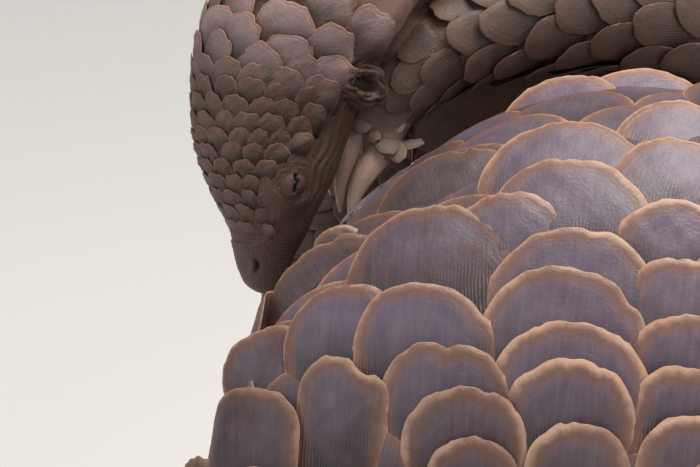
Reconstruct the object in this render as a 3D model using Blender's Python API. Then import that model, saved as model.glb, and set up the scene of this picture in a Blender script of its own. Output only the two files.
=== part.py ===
"""Ground pangolin, life size, curled half onto its back. Metres, +Z up.

The trunk and tail follow a ring that stands on the back. The ring's plane faces X,
the rump and the root of the tail face -Y, and the tail rises over the top of the ring.
The neck bends over at the animal's left, and the head hangs nose down beside the tail.
"""
import math

import bmesh
import bpy
import numpy as np

# Driving dimensions in metres, angles in degrees
RING_CENTRE = (0.00016, -0.0106, 0.1405)
JOINT_GAP = 0.0003
CUT_CLEARANCE = 0.0004
EYE_RADIUS = 0.0046
HEAD_ROLL = 30.0
EYE_PLACE = 4.35
EAR_PLACE = 7.6
EAR_TURN = 126.0
EAR_SIZES = (0.0125, 0.0080, 0.0060)
EAR_SINK = 0.0010
EYE_SINK = 0.0034
EYE_TO_BACK = 0.0012
SIDES_BODY = 26
SIDES_HEAD = 24
SIDES_LIMB = 12
SIDES_CLAW = 8
STEP_BODY = 0.0190
STEP_HEAD = 0.0085
STEP_LIMB = 0.011
STEP_CLAW = 0.007
SHARP_EDGE_ANGLE = 50.0
ROUND_END_TURN = 72.0

# The ring: angle from -Y upwards, centreline radius, offset to the right, half width, depth to
# the back, depth to the belly, and how sharp the sides are (1 is an ellipse, 2 is a lens)
RING_ROWS = (
    (-198.0, 0.1190, -0.006, 0.072, 0.0400, 0.0380, 1.00),
    (-181.0, 0.1120, -0.001, 0.086, 0.0440, 0.0430, 1.00),
    (-165.0, 0.1045, 0.000, 0.096, 0.0470, 0.0470, 1.00),
    (-145.0, 0.0985, 0.000, 0.105, 0.0480, 0.0490, 1.00),
    (-120.0, 0.0945, 0.000, 0.114, 0.0505, 0.0490, 1.00),
    (-90.0, 0.0930, 0.000, 0.121, 0.0540, 0.0480, 1.00),
    (-60.0, 0.0915, 0.000, 0.126, 0.0500, 0.0470, 1.00),
    (-30.0, 0.0900, 0.000, 0.130, 0.0460, 0.0460, 0.88),
    (0.0, 0.0905, 0.002, 0.131, 0.0440, 0.0440, 0.80),
    (25.0, 0.0935, 0.005, 0.125, 0.0405, 0.0380, 0.90),
    (45.0, 0.0975, 0.009, 0.1135, 0.0370, 0.0320, 1.15),
    (65.0, 0.1020, 0.013, 0.098, 0.0340, 0.0280, 1.40),
    (85.0, 0.1050, 0.017, 0.079, 0.0310, 0.0245, 1.50),
    (100.0, 0.1045, 0.019, 0.066, 0.0285, 0.0215, 1.50),
)

# Beyond the ring the tail turns in: x, y and z from the ring's centre, back direction in the
# plane of the ring, half width, depth to the back, depth to the belly, sharpness of the sides
TAIL_ROWS = (
    (0.019, 0.0350, 0.0920, 0.80, 0.60, 0.0580, 0.0250, 0.0195, 1.50),
    (0.017, 0.0445, 0.0710, 1.00, 0.05, 0.0520, 0.0215, 0.0180, 1.45),
    (0.013, 0.0415, 0.0480, 0.98, -0.20, 0.0470, 0.0190, 0.0160, 1.40),
    (0.008, 0.0365, 0.0240, 0.95, -0.31, 0.0420, 0.0165, 0.0140, 1.35),
    (0.004, 0.0280, 0.0010, 0.78, -0.62, 0.0370, 0.0140, 0.0125, 1.30),
    (0.000, 0.0130, -0.0175, 0.38, -0.92, 0.0310, 0.0120, 0.0110, 1.25),
    (0.000, -0.0070, -0.0235, -0.20, -0.98, 0.0250, 0.0105, 0.0100, 1.20),
    (0.000, -0.0235, -0.0130, -0.75, -0.66, 0.0190, 0.0090, 0.0085, 1.10),
    (0.000, -0.0300, 0.0030, -0.98, -0.18, 0.0120, 0.0065, 0.0060, 1.00),
)

# From the crown to the shoulders: place from the ring's centre, back direction, half width,
# depth to the back, depth to the throat
NECK_ROWS = (
    (-0.0900, 0.0500, 0.1480, -0.84, -0.45, 0.30, 0.0325, 0.0330, 0.0310),
    (-0.0800, 0.0680, 0.1620, -0.62, -0.15, 0.77, 0.0350, 0.0320, 0.0310),
    (-0.0600, 0.0920, 0.1620, -0.40, 0.35, 0.85, 0.0380, 0.0330, 0.0310),
    (-0.0370, 0.1110, 0.1360, -0.24, 0.80, 0.55, 0.0460, 0.0350, 0.0330),
    (-0.0160, 0.1160, 0.0950, -0.10, 0.96, 0.30, 0.0580, 0.0375, 0.0345),
)

# Head from the nose to the crown: place from the ring's centre, half width, depth to the back,
# depth to the throat
HEAD_ROWS = (
    (-0.1060, 0.0182, 0.0538, 0.0056, 0.0054, 0.0048),
    (-0.1060, 0.0190, 0.0606, 0.0082, 0.0090, 0.0082),
    (-0.1056, 0.0205, 0.0690, 0.0106, 0.0122, 0.0112),
    (-0.1046, 0.0225, 0.0765, 0.0132, 0.0166, 0.0142),
    (-0.1038, 0.0255, 0.0865, 0.0166, 0.0226, 0.0188),
    (-0.1032, 0.0290, 0.0965, 0.0198, 0.0276, 0.0232),
    (-0.1028, 0.0325, 0.1065, 0.0228, 0.0306, 0.0262),
    (-0.1015, 0.0370, 0.1190, 0.0260, 0.0326, 0.0284),
    (-0.0985, 0.0420, 0.1320, 0.0292, 0.0332, 0.0300),
)

# Limbs: place from the ring's centre and radius, from the body outwards. The last rows are the foot's
FOOT_ROWS = 2
FOOT_ROUNDING = 0.8
LIMB_FORE_LEFT = (
    (0.0200, 0.1170, 0.0720, 0.0270),
    (0.0480, 0.1040, 0.0990, 0.0260),
    (0.0450, 0.0840, 0.1250, 0.0235),
    (0.0200, 0.0730, 0.1370, 0.0220),
    (-0.0120, 0.0650, 0.1380, 0.0205),
    (-0.0400, 0.0580, 0.1310, 0.0185),
    (-0.0540, 0.0540, 0.1230, 0.0160),
    (-0.0695, 0.0515, 0.1085, 0.0125),
)
LIMB_FORE_RIGHT = (
    (-0.0420, 0.1080, 0.0650, 0.0270),
    (-0.0700, 0.0990, 0.0490, 0.0250),
    (-0.0890, 0.0780, 0.0290, 0.0215),
    (-0.0885, 0.0530, 0.0280, 0.0175),
    (-0.0860, 0.0380, 0.0290, 0.0160),
    (-0.0840, 0.0290, 0.0300, 0.0150),
    (-0.0820, 0.0180, 0.0320, 0.0125),
)
LIMB_HIND = (
    (0.0850, -0.0650, -0.0240, 0.0330),
    (0.0880, -0.0420, -0.0130, 0.0310),
    (0.0880, -0.0190, -0.0090, 0.0275),
    (0.0850, 0.0010, -0.0120, 0.0235),
    (0.0810, 0.0170, -0.0170, 0.0230),
    (0.0760, 0.0320, -0.0180, 0.0215),
)

# Fore claws: root, tip, both from the ring's centre, radius of the root
CLAWS_LEFT = (
    ("inner", (-0.0790, 0.0640, 0.1120), (-0.0825, 0.0590, 0.1000), 0.0024),
    ("second", (-0.0785, 0.0560, 0.1060), (-0.0835, 0.0478, 0.0795), 0.0038),
    ("middle", (-0.0729, 0.0470, 0.1044), (-0.0803, 0.0367, 0.0772), 0.0041),
    ("fourth", (-0.0657, 0.0426, 0.0966), (-0.0769, 0.0316, 0.0766), 0.0045),
    ("outer", (-0.0570, 0.0460, 0.1080), (-0.0610, 0.0420, 0.0985), 0.0024),
)
CLAW_BEND_LEFT = (-0.0022, -0.0010, 0.0004)
CLAWS_RIGHT = (
    ("inner", (-0.0990, 0.0185, 0.0320), (-0.1010, 0.0045, 0.0290), 0.0024),
    ("second", (-0.0915, 0.0120, 0.0330), (-0.0925, -0.0200, 0.0240), 0.0040),
    ("middle", (-0.0818, 0.0100, 0.0335), (-0.0815, -0.0300, 0.0230), 0.0050),
    ("fourth", (-0.0720, 0.0120, 0.0330), (-0.0705, -0.0190, 0.0240), 0.0040),
    ("outer", (-0.0666, 0.0170, 0.0320), (-0.0650, 0.0040, 0.0290), 0.0024),
)
CLAW_BEND_RIGHT = (0.0, 0.0, 0.0030)
CLAW_TAPER = 0.86
CLAW_TAPER_POWER = 1.6
CLAW_DEPTH_SHARE = 1.15
HIND_NAIL_LENGTH = 0.011
HIND_NAIL_RADIUS = 0.0034
HIND_NAIL_COUNT = 5
HIND_NAIL_BEND = 0.001
NAIL_SPREAD = 64.0
NAIL_SEAT_OUT = 0.74
NAIL_SEAT_FORWARD = 0.30
NAIL_AIM_FORWARD = 0.86
NAIL_AIM_OUT = 0.50

COLOURS = {
    "scales": (0.155, 0.115, 0.095, 0.45, 0.0),
    "hide": (0.115, 0.090, 0.072, 0.60, 0.0),
    "claw": (0.320, 0.225, 0.150, 0.45, 0.0),
    "eye": (0.012, 0.010, 0.010, 0.12, 0.0),
}


def make_material(name):
    """Principled material from the colour table: red, green, blue, roughness, metallic."""
    red, green, blue, roughness, metallic = COLOURS[name]
    material = bpy.data.materials.new(name)
    material.use_nodes = True
    shader = material.node_tree.nodes["Principled BSDF"]
    shader.inputs["Base Color"].default_value = (red, green, blue, 1.0)
    shader.inputs["Roughness"].default_value = roughness
    shader.inputs["Metallic"].default_value = metallic
    material.diffuse_color = (red, green, blue, 1.0)
    return material


def unit(vector):
    """Vector of length one in the same direction."""
    vector = np.asarray(vector, dtype=float)
    return vector / np.linalg.norm(vector)


def body_rows():
    """Rows from the nose to the tail's tip: centre, back direction, half width, two depths, sharpness."""
    centre = np.array(RING_CENTRE)
    roll = math.radians(HEAD_ROLL)
    head_back = np.array((-math.cos(roll), -math.sin(roll), 0.0))
    rows = []
    for x, y, height, wide, back, front in HEAD_ROWS:
        rows.append((centre + (x, y, height), head_back, wide, back, front, 1.0))
    for x, y, height, bx, by, bz, wide, back, front in NECK_ROWS:
        rows.append((centre + (x, y, height), unit((bx, by, bz)), wide, back, front, 1.0))
    for angle, radius, x, wide, back, front, sharp in RING_ROWS:
        turn = math.radians(angle)
        out = np.array((0.0, -math.cos(turn), math.sin(turn)))
        rows.append((centre + (x, 0.0, 0.0) + radius * out, out, wide, back, front, sharp))
    for x, y, height, by, bz, wide, back, front, sharp in TAIL_ROWS:
        rows.append((centre + (x, y, height), unit((0.0, by, bz)), wide, back, front, sharp))
    return rows


def spline(values, place):
    """Catmull-Rom value of a table of rows at a fractional row number."""
    last = len(values) - 1
    first = min(int(math.floor(place)), last - 1)
    part = place - first
    p1 = values[first]
    p2 = values[first + 1]
    p0 = values[first - 1] if first > 0 else 2 * p1 - p2
    p3 = values[first + 2] if first + 2 <= last else 2 * p2 - p1
    slope = (p2 - p0) / 2
    slope_end = (p3 - p1) / 2
    a = 2 * p1 - 2 * p2 + slope + slope_end
    b = 3 * p2 - 3 * p1 - 2 * slope - slope_end
    return ((a * part + b) * part + slope) * part + p1


def body_table():
    """The rows as one array: centre, back direction, width, two depths and sharpness."""
    return np.array([np.hstack((row[0], row[1], row[2:])) for row in body_rows()])


def body_section(table, place):
    """Frame of the body at a fractional row number: centre, back, left, forward and sizes."""
    row = spline(table, place)
    ahead = spline(table, max(place - 0.02, 0.0))[:3]
    behind = spline(table, min(place + 0.02, len(table) - 1.0))[:3]
    forward = unit(ahead - behind)
    back = unit(row[3:6] - forward * np.dot(row[3:6], forward))
    left = np.cross(back, forward)
    return row[:3], back, left, forward, row[6:]


def section_ring(frame, sides, grow):
    """Points of one rounded section: the first point lies on the back."""
    centre, back, left, _, (wide, rise, drop, sharp) = frame
    points = []
    for number in range(sides):
        turn = 2 * math.pi * number / sides
        lift = math.cos(turn)
        depth = ((rise if lift > 0 else drop) + grow) * math.copysign(abs(lift) ** sharp, lift)
        point = centre + back * depth + left * (wide + grow) * math.sin(turn)
        points.append(point)
    return points


def loft(name, rings, material, collection):
    """Closed solid through rings of equal count, with flat ends."""
    mesh = bpy.data.meshes.new(name)
    shape = bmesh.new()
    rows = [[shape.verts.new(point) for point in ring] for ring in rings]
    sides = len(rings[0])
    for first, second in zip(rows, rows[1:]):
        for number in range(sides):
            after = (number + 1) % sides
            shape.faces.new((first[number], first[after], second[after]))
            shape.faces.new((first[number], second[after], second[number]))
    shape.faces.new(rows[0])
    shape.faces.new(rows[-1])
    bmesh.ops.recalc_face_normals(shape, faces=shape.faces)
    shape.to_mesh(mesh)
    shape.free()
    mesh.shade_smooth()
    mesh.set_sharp_from_angle(angle=math.radians(SHARP_EDGE_ANGLE))
    body = bpy.data.objects.new(name, mesh)
    body.data.materials.append(material)
    collection.objects.link(body)
    return body


def body_places(table, start, end, step):
    """Fractional row numbers from start to end, near one step apart along the back."""
    samples = np.linspace(start, end, 200)
    frames = [body_section(table, place) for place in samples]
    line = np.array([frame[0] + frame[1] * frame[4][1] for frame in frames])
    gaps = np.linalg.norm(np.diff(line, axis=0), axis=1)
    run = np.hstack((0.0, np.cumsum(gaps)))
    count = max(int(round(run[-1] / step)), 2)
    return np.interp(np.linspace(0.0, run[-1], count + 1), run, samples)


def body_piece(name, table, start, end, style, shifts, grow=0.0):
    """One length of the body between two row numbers, its ends moved along the body by shifts."""
    sides, step, material, collection = style
    rings = []
    places = body_places(table, start, end, step)
    for number, place in enumerate(places):
        frame = body_section(table, place)
        ring = section_ring(frame, sides, grow)
        shift = 0.0
        if number == 0:
            shift = shifts[0]
        if number == len(places) - 1:
            shift = shifts[1]
        ring = [point + frame[3] * shift for point in ring]
        rings.append([(x, y, max(z, 0.0)) for x, y, z in ring])
    return loft(name, rings, material, collection)


def limb_rings(rows, start, end, sides, step, grow=0.0, shifts=(0.0, 0.0)):
    """Round rings along a limb's rows of place and radius, from one row number to another."""
    table = np.array(rows)
    table[:, :3] += RING_CENTRE
    samples = np.linspace(start, end, 120)
    line = np.array([spline(table, place)[:3] for place in samples])
    run = np.hstack((0.0, np.cumsum(np.linalg.norm(np.diff(line, axis=0), axis=1))))
    count = max(int(round(run[-1] / step)), 3)
    places = np.interp(np.linspace(0.0, run[-1], count + 1), run, samples)
    side = None
    rings = []
    for step_number, place in enumerate(places):
        row = spline(table, place)
        ahead = spline(table, min(place + 0.03, len(table) - 1.0))[:3]
        behind = spline(table, max(place - 0.03, 0.0))[:3]
        along = unit(ahead - behind)
        if side is None:
            side = unit(np.cross(along, (0.31, 0.22, 0.92)))
        side = unit(side - along * np.dot(side, along))
        other = np.cross(along, side)
        radius = row[3] + grow
        centre = row[:3]
        if step_number == 0:
            centre = centre + along * shifts[0]
        if step_number == count:
            centre = centre + along * shifts[1]
        ring = []
        for number in range(sides):
            turn = 2 * math.pi * number / sides
            offset = side * math.cos(turn) + other * math.sin(turn)
            ring.append(centre + radius * offset)
        rings.append(ring)
    return rings


def round_end(rings, depth, steps=2):
    """Add shrinking rings past the last one, so that the end is rounded."""
    last = np.array(rings[-1])
    centre = last.mean(axis=0)
    along = unit(centre - np.array(rings[-2]).mean(axis=0))
    for number in range(1, steps + 1):
        turn = math.radians(ROUND_END_TURN * number / steps)
        points = centre + (last - centre) * math.cos(turn) + along * depth * math.sin(turn)
        rings.append([tuple(point) for point in points])
    return rings


def hide_cutter(body):
    """Mark a body as a cutter that is no part of the animal."""
    body.hide_render = True
    body.display_type = "WIRE"
    return body


def cut(body, cutters):
    """Take the cutters' shapes out of a body."""
    for cutter in cutters:
        modifier = body.modifiers.new("cut", "BOOLEAN")
        modifier.operation = "DIFFERENCE"
        modifier.solver = "EXACT"
        modifier.object = cutter


def claw_rings(root, tip, bend, radius, sides):
    """Rings of a curved claw that tapers from its root to its tip, flatter than it is wide."""
    root = np.array(root)
    tip = np.array(tip)
    bend = np.array(bend)
    count = max(int(round(np.linalg.norm(tip - root) / STEP_CLAW)), 3)
    rings = []
    for number in range(count + 1):
        part = number / count
        centre = root * (1 - part) + tip * part + bend * 4 * part * (1 - part)
        along = unit(tip - root + bend * 4 * (1 - 2 * part))
        over = unit(bend - along * np.dot(bend, along))
        across = np.cross(along, over)
        size = radius * (1.0 - CLAW_TAPER * part ** CLAW_TAPER_POWER)
        ring = []
        for side in range(sides):
            turn = 2 * math.pi * side / sides
            depth = size * CLAW_DEPTH_SHARE * math.sin(turn)
            ring.append(centre + across * size * math.cos(turn) + over * depth)
        rings.append(ring)
    return rings


def build_body(table, materials, collection, cutters):
    """Head, neck, trunk and tail as lengths of one loft, with grown copies that cut the limbs."""
    heads = len(HEAD_ROWS)
    ring = heads + len(NECK_ROWS)
    last = len(table) - 1
    fine = (SIDES_HEAD, STEP_HEAD, materials["hide"], collection)
    coarse = (SIDES_BODY, STEP_BODY, materials["scales"], collection)
    bounds = {
        "head": (0, heads, fine),
        "neck": (heads, heads + 3.5, coarse),
        "trunk_front": (heads + 3.5, ring + 3, coarse),
        "trunk_middle": (ring + 3, ring + 6, coarse),
        "trunk_rear": (ring + 6, ring + 9, coarse),
        "tail_base": (ring + 9, ring + 11.5, coarse),
        "tail_middle": (ring + 11.5, ring + 15, coarse),
        "tail_tip": (ring + 15, last, coarse),
    }
    bodies = {}
    half = JOINT_GAP / 2
    for name, (start, end, style) in bounds.items():
        shifts = (-half if start > 0 else 0.0, half if end < last else 0.0)
        bodies[name] = body_piece(name, table, start, end, style, shifts)
    grown = {}
    for name in ("head", "neck", "trunk_front", "trunk_rear"):
        start, end, style = bounds[name]
        sides, step, material, _ = style
        wide = (sides, step, material, cutters)
        shifts = (CUT_CLEARANCE, -CUT_CLEARANCE)
        copy = body_piece("cut_" + name, table, start, end, wide, shifts, CUT_CLEARANCE)
        grown[name] = hide_cutter(copy)
    return bodies, grown


def mirrored(rows):
    """The same rows on the other side of the ring's plane."""
    return tuple((-x, y, z, r) for x, y, z, r in rows)


def build_limbs(materials, collection, cutters, grown):
    """Four legs and feet. Each foot starts where its leg ends."""
    plans = {
        "fore": {"left": LIMB_FORE_LEFT, "right": LIMB_FORE_RIGHT},
        "hind": {"left": LIMB_HIND, "right": mirrored(LIMB_HIND)},
    }
    half = JOINT_GAP / 2
    for kind, sides in plans.items():
        for side, rows in sides.items():
            joint = len(rows) - 1 - FOOT_ROWS
            tip = len(rows) - 1
            tail = "_" + side
            roots = ("trunk_front", "neck") if kind == "fore" else ("trunk_rear",)
            leg_rings = limb_rings(rows, 0, joint, SIDES_LIMB, STEP_LIMB, shifts=(0.0, -half))
            leg = loft(kind + "leg" + tail, leg_rings, materials["hide"], collection)
            cut(leg, [grown[root] for root in roots])
            rings = limb_rings(rows, joint, tip, SIDES_LIMB, STEP_LIMB, shifts=(half, 0.0))
            rings = round_end(rings, rows[-1][3] * FOOT_ROUNDING)
            foot = loft(kind + "foot" + tail, rings, materials["hide"], collection)
            if kind == "fore" and side == "left":
                cut(foot, [grown["head"], grown["neck"]])
            rings = limb_rings(rows, joint, tip, SIDES_LIMB, STEP_LIMB, grow=CUT_CLEARANCE)
            rings = round_end(rings, rows[-1][3] * FOOT_ROUNDING + CUT_CLEARANCE)
            copy = loft("cut_" + kind + "foot" + tail, rings, materials["hide"], cutters)
            grown[kind + "foot" + tail] = hide_cutter(copy)


def build_claws(materials, collection, grown):
    """Five claws on each forefoot, the middle three long, and five blunt nails on each hind foot."""
    centre = np.array(RING_CENTRE)
    feet = {"left": (CLAWS_LEFT, CLAW_BEND_LEFT), "right": (CLAWS_RIGHT, CLAW_BEND_RIGHT)}
    for side, (claws, bend) in feet.items():
        for name, root, tip, radius in claws:
            rings = claw_rings(centre + root, centre + tip, bend, radius, SIDES_CLAW)
            body = loft("claw_" + side + "_" + name, rings, materials["claw"], collection)
            cut(body, [grown["forefoot_" + side]])
    for side, sign in (("left", 1.0), ("right", -1.0)):
        rows = LIMB_HIND if sign > 0 else mirrored(LIMB_HIND)
        end = centre + np.array(rows[-1][:3])
        along = unit(np.array(rows[-1][:3]) - np.array(rows[-2][:3]))
        across = unit(np.cross(along, (0.0, 0.0, 1.0)))
        over = np.cross(across, along)
        radius = rows[-1][3]
        for number in range(HIND_NAIL_COUNT):
            turn = math.radians(NAIL_SPREAD * (2 * number / (HIND_NAIL_COUNT - 1) - 1))
            spot = across * math.sin(turn) + over * math.cos(turn)
            root = end + spot * radius * NAIL_SEAT_OUT + along * radius * NAIL_SEAT_FORWARD
            tip = root + (along * NAIL_AIM_FORWARD + spot * NAIL_AIM_OUT) * HIND_NAIL_LENGTH
            rings = claw_rings(root, tip, spot * HIND_NAIL_BEND, HIND_NAIL_RADIUS, SIDES_CLAW)
            label = "nail_" + side + "_" + str(number + 1)
            body = loft(label, rings, materials["claw"], collection)
            cut(body, [grown["hindfoot_" + side]])


def build_eyes_and_ears(table, materials, collection, bodies, cutters, grown):
    """Eyes set into the sides of the head, and low folded ears behind them."""
    for side, sign in (("left", 1.0), ("right", -1.0)):
        centre, back, left, forward, sizes = body_section(table, EYE_PLACE)
        spot = centre + left * sign * (sizes[0] - EYE_SINK) + back * EYE_TO_BACK
        bpy.ops.mesh.primitive_uv_sphere_add(segments=14, ring_count=9, radius=EYE_RADIUS, location=spot)
        eye = bpy.context.object
        eye.name = "eye_" + side
        move_to(eye, collection)
        eye.data.materials.append(materials["eye"])
        bpy.ops.mesh.primitive_uv_sphere_add(
            segments=14, ring_count=9, radius=EYE_RADIUS + CUT_CLEARANCE, location=spot)
        socket = bpy.context.object
        socket.name = "cut_eye_" + side
        hide_cutter(socket)
        move_to(socket, cutters)
        cut(bodies["head"], [socket])
        centre, back, left, forward, sizes = body_section(table, EAR_PLACE)
        turn = math.radians(EAR_TURN)
        spot = centre + left * sign * (sizes[0] - EAR_SINK) * math.sin(turn)
        spot = spot + back * sizes[2] * math.cos(turn)
        bpy.ops.mesh.primitive_uv_sphere_add(segments=12, ring_count=8, radius=1.0, location=spot)
        ear = bpy.context.object
        ear.name = "ear_" + side
        frame = np.array((unit(back), unit(forward), np.cross(unit(back), unit(forward)))).T
        for vertex in ear.data.vertices:
            vertex.co = frame @ (np.array(vertex.co) * np.array(EAR_SIZES))
        move_to(ear, collection)
        ear.data.materials.append(materials["hide"])
        cut(ear, [grown["head"]])


def move_to(body, collection):
    """Put an object in one collection only."""
    for owner in list(body.users_collection):
        owner.objects.unlink(body)
    collection.objects.link(body)


def main():
    """Build the pangolin in the empty scene."""
    for item in list(bpy.data.objects):
        bpy.data.objects.remove(item)
    scene = bpy.context.scene
    scene.unit_settings.system = "METRIC"
    collection = bpy.data.collections.new("pangolin")
    cutters = bpy.data.collections.new("cutters")
    scene.collection.children.link(collection)
    scene.collection.children.link(cutters)
    materials = {name: make_material(name) for name in COLOURS}
    table = body_table()
    bodies, grown = build_body(table, materials, collection, cutters)
    build_limbs(materials, collection, cutters, grown)
    build_claws(materials, collection, grown)
    build_eyes_and_ears(table, materials, collection, bodies, cutters, grown)


main()
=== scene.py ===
import math

import bmesh
import bpy
import numpy as np
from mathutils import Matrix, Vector
from mathutils.bvhtree import BVHTree


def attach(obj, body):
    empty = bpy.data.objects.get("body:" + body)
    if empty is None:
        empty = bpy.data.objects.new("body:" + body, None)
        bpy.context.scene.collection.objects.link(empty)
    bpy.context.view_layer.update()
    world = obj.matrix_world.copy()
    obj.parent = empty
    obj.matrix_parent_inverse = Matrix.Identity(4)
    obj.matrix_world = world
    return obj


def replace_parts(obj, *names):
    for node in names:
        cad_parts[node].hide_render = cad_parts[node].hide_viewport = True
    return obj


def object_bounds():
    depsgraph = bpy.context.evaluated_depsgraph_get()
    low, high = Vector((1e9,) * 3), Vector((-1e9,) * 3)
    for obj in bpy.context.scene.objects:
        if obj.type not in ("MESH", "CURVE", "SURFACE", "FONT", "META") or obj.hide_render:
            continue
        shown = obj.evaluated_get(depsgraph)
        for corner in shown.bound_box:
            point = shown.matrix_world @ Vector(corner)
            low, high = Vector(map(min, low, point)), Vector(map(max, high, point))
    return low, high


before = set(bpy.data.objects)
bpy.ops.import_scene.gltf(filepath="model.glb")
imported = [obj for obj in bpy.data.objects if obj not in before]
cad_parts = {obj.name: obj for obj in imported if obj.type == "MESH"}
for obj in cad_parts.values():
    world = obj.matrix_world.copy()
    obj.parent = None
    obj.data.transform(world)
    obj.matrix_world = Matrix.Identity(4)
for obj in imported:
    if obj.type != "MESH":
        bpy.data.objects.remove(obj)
cadLow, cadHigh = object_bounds()
print("frame loaded,", len(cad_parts), "nodes")

# The animal's lines, the same as in the solids, in metres and degrees
ringCentre = np.array((0.00016, -0.0106, 0.1405))
headRoll = 30.0
eyeRadius = 0.0046
eyePlace = 4.35
earPlace = 7.6
earTurn = 126.0

# nose to crown: x, y, height, half width, back, throat
headRows = (
    (-0.1060, 0.0182, 0.0538, 0.0056, 0.0054, 0.0048),
    (-0.1060, 0.0190, 0.0606, 0.0082, 0.0090, 0.0082),
    (-0.1056, 0.0205, 0.0690, 0.0106, 0.0122, 0.0112),
    (-0.1046, 0.0225, 0.0765, 0.0132, 0.0166, 0.0142),
    (-0.1038, 0.0255, 0.0865, 0.0166, 0.0226, 0.0188),
    (-0.1032, 0.0290, 0.0965, 0.0198, 0.0276, 0.0232),
    (-0.1028, 0.0325, 0.1065, 0.0228, 0.0306, 0.0262),
    (-0.1015, 0.0370, 0.1190, 0.0260, 0.0326, 0.0284),
    (-0.0985, 0.0420, 0.1320, 0.0292, 0.0332, 0.0300),
)
# crown to shoulders: place, back direction, half width, back, throat
neckRows = (
    (-0.0900, 0.0500, 0.1480, -0.84, -0.45, 0.30, 0.0325, 0.0330, 0.0310),
    (-0.0800, 0.0680, 0.1620, -0.62, -0.15, 0.77, 0.0350, 0.0320, 0.0310),
    (-0.0600, 0.0920, 0.1620, -0.40, 0.35, 0.85, 0.0380, 0.0330, 0.0310),
    (-0.0370, 0.1110, 0.1360, -0.24, 0.80, 0.55, 0.0460, 0.0350, 0.0330),
    (-0.0160, 0.1160, 0.0950, -0.10, 0.96, 0.30, 0.0580, 0.0375, 0.0345),
)
# trunk and tail root: angle, radius, x, half width, back, belly, sharpness of the sides
ringRows = (
    (-198.0, 0.1190, -0.006, 0.072, 0.0400, 0.0380, 1.00),
    (-181.0, 0.1120, -0.001, 0.086, 0.0440, 0.0430, 1.00),
    (-165.0, 0.1045, 0.000, 0.096, 0.0470, 0.0470, 1.00),
    (-145.0, 0.0985, 0.000, 0.105, 0.0480, 0.0490, 1.00),
    (-120.0, 0.0945, 0.000, 0.114, 0.0505, 0.0490, 1.00),
    (-90.0, 0.0930, 0.000, 0.121, 0.0540, 0.0480, 1.00),
    (-60.0, 0.0915, 0.000, 0.126, 0.0500, 0.0470, 1.00),
    (-30.0, 0.0900, 0.000, 0.130, 0.0460, 0.0460, 0.88),
    (0.0, 0.0905, 0.002, 0.131, 0.0440, 0.0440, 0.80),
    (25.0, 0.0935, 0.005, 0.125, 0.0405, 0.0380, 0.90),
    (45.0, 0.0975, 0.009, 0.1135, 0.0370, 0.0320, 1.15),
    (65.0, 0.1020, 0.013, 0.098, 0.0340, 0.0280, 1.40),
    (85.0, 0.1050, 0.017, 0.079, 0.0310, 0.0245, 1.50),
    (100.0, 0.1045, 0.019, 0.066, 0.0285, 0.0215, 1.50),
)
# the tail's inward curl: place, back direction, half width, back, belly, sharpness
tailRows = (
    (0.019, 0.0350, 0.0920, 0.80, 0.60, 0.0580, 0.0250, 0.0195, 1.50),
    (0.017, 0.0445, 0.0710, 1.00, 0.05, 0.0520, 0.0215, 0.0180, 1.45),
    (0.013, 0.0415, 0.0480, 0.98, -0.20, 0.0470, 0.0190, 0.0160, 1.40),
    (0.008, 0.0365, 0.0240, 0.95, -0.31, 0.0420, 0.0165, 0.0140, 1.35),
    (0.004, 0.0280, 0.0010, 0.78, -0.62, 0.0370, 0.0140, 0.0125, 1.30),
    (0.000, 0.0130, -0.0175, 0.38, -0.92, 0.0310, 0.0120, 0.0110, 1.25),
    (0.000, -0.0070, -0.0235, -0.20, -0.98, 0.0250, 0.0105, 0.0100, 1.20),
    (0.000, -0.0235, -0.0130, -0.75, -0.66, 0.0190, 0.0090, 0.0085, 1.10),
    (0.000, -0.0300, 0.0030, -0.98, -0.18, 0.0120, 0.0065, 0.0060, 1.00),
)
hindRows = (
    (0.0850, -0.0650, -0.0240, 0.0330), (0.0880, -0.0420, -0.0130, 0.0310),
    (0.0880, -0.0190, -0.0090, 0.0275), (0.0850, 0.0010, -0.0120, 0.0235),
    (0.0810, 0.0170, -0.0170, 0.0230), (0.0760, 0.0320, -0.0180, 0.0215),
)
limbRows = {
    "foreLeft": (
        (0.0200, 0.1170, 0.0720, 0.0270), (0.0480, 0.1040, 0.0990, 0.0260),
        (0.0450, 0.0840, 0.1250, 0.0235), (0.0200, 0.0730, 0.1370, 0.0220),
        (-0.0120, 0.0650, 0.1380, 0.0205), (-0.0400, 0.0580, 0.1310, 0.0185),
        (-0.0540, 0.0540, 0.1230, 0.0160), (-0.0695, 0.0515, 0.1085, 0.0125),
    ),
    "foreRight": (
        (-0.0420, 0.1080, 0.0650, 0.0270), (-0.0700, 0.0990, 0.0490, 0.0250),
        (-0.0890, 0.0780, 0.0290, 0.0215), (-0.0885, 0.0530, 0.0280, 0.0175),
        (-0.0860, 0.0380, 0.0290, 0.0160), (-0.0840, 0.0290, 0.0300, 0.0150),
        (-0.0820, 0.0180, 0.0320, 0.0125),
    ),
    "hindLeft": hindRows,
    "hindRight": tuple((-x, y, z, r) for x, y, z, r in hindRows),
}
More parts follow.
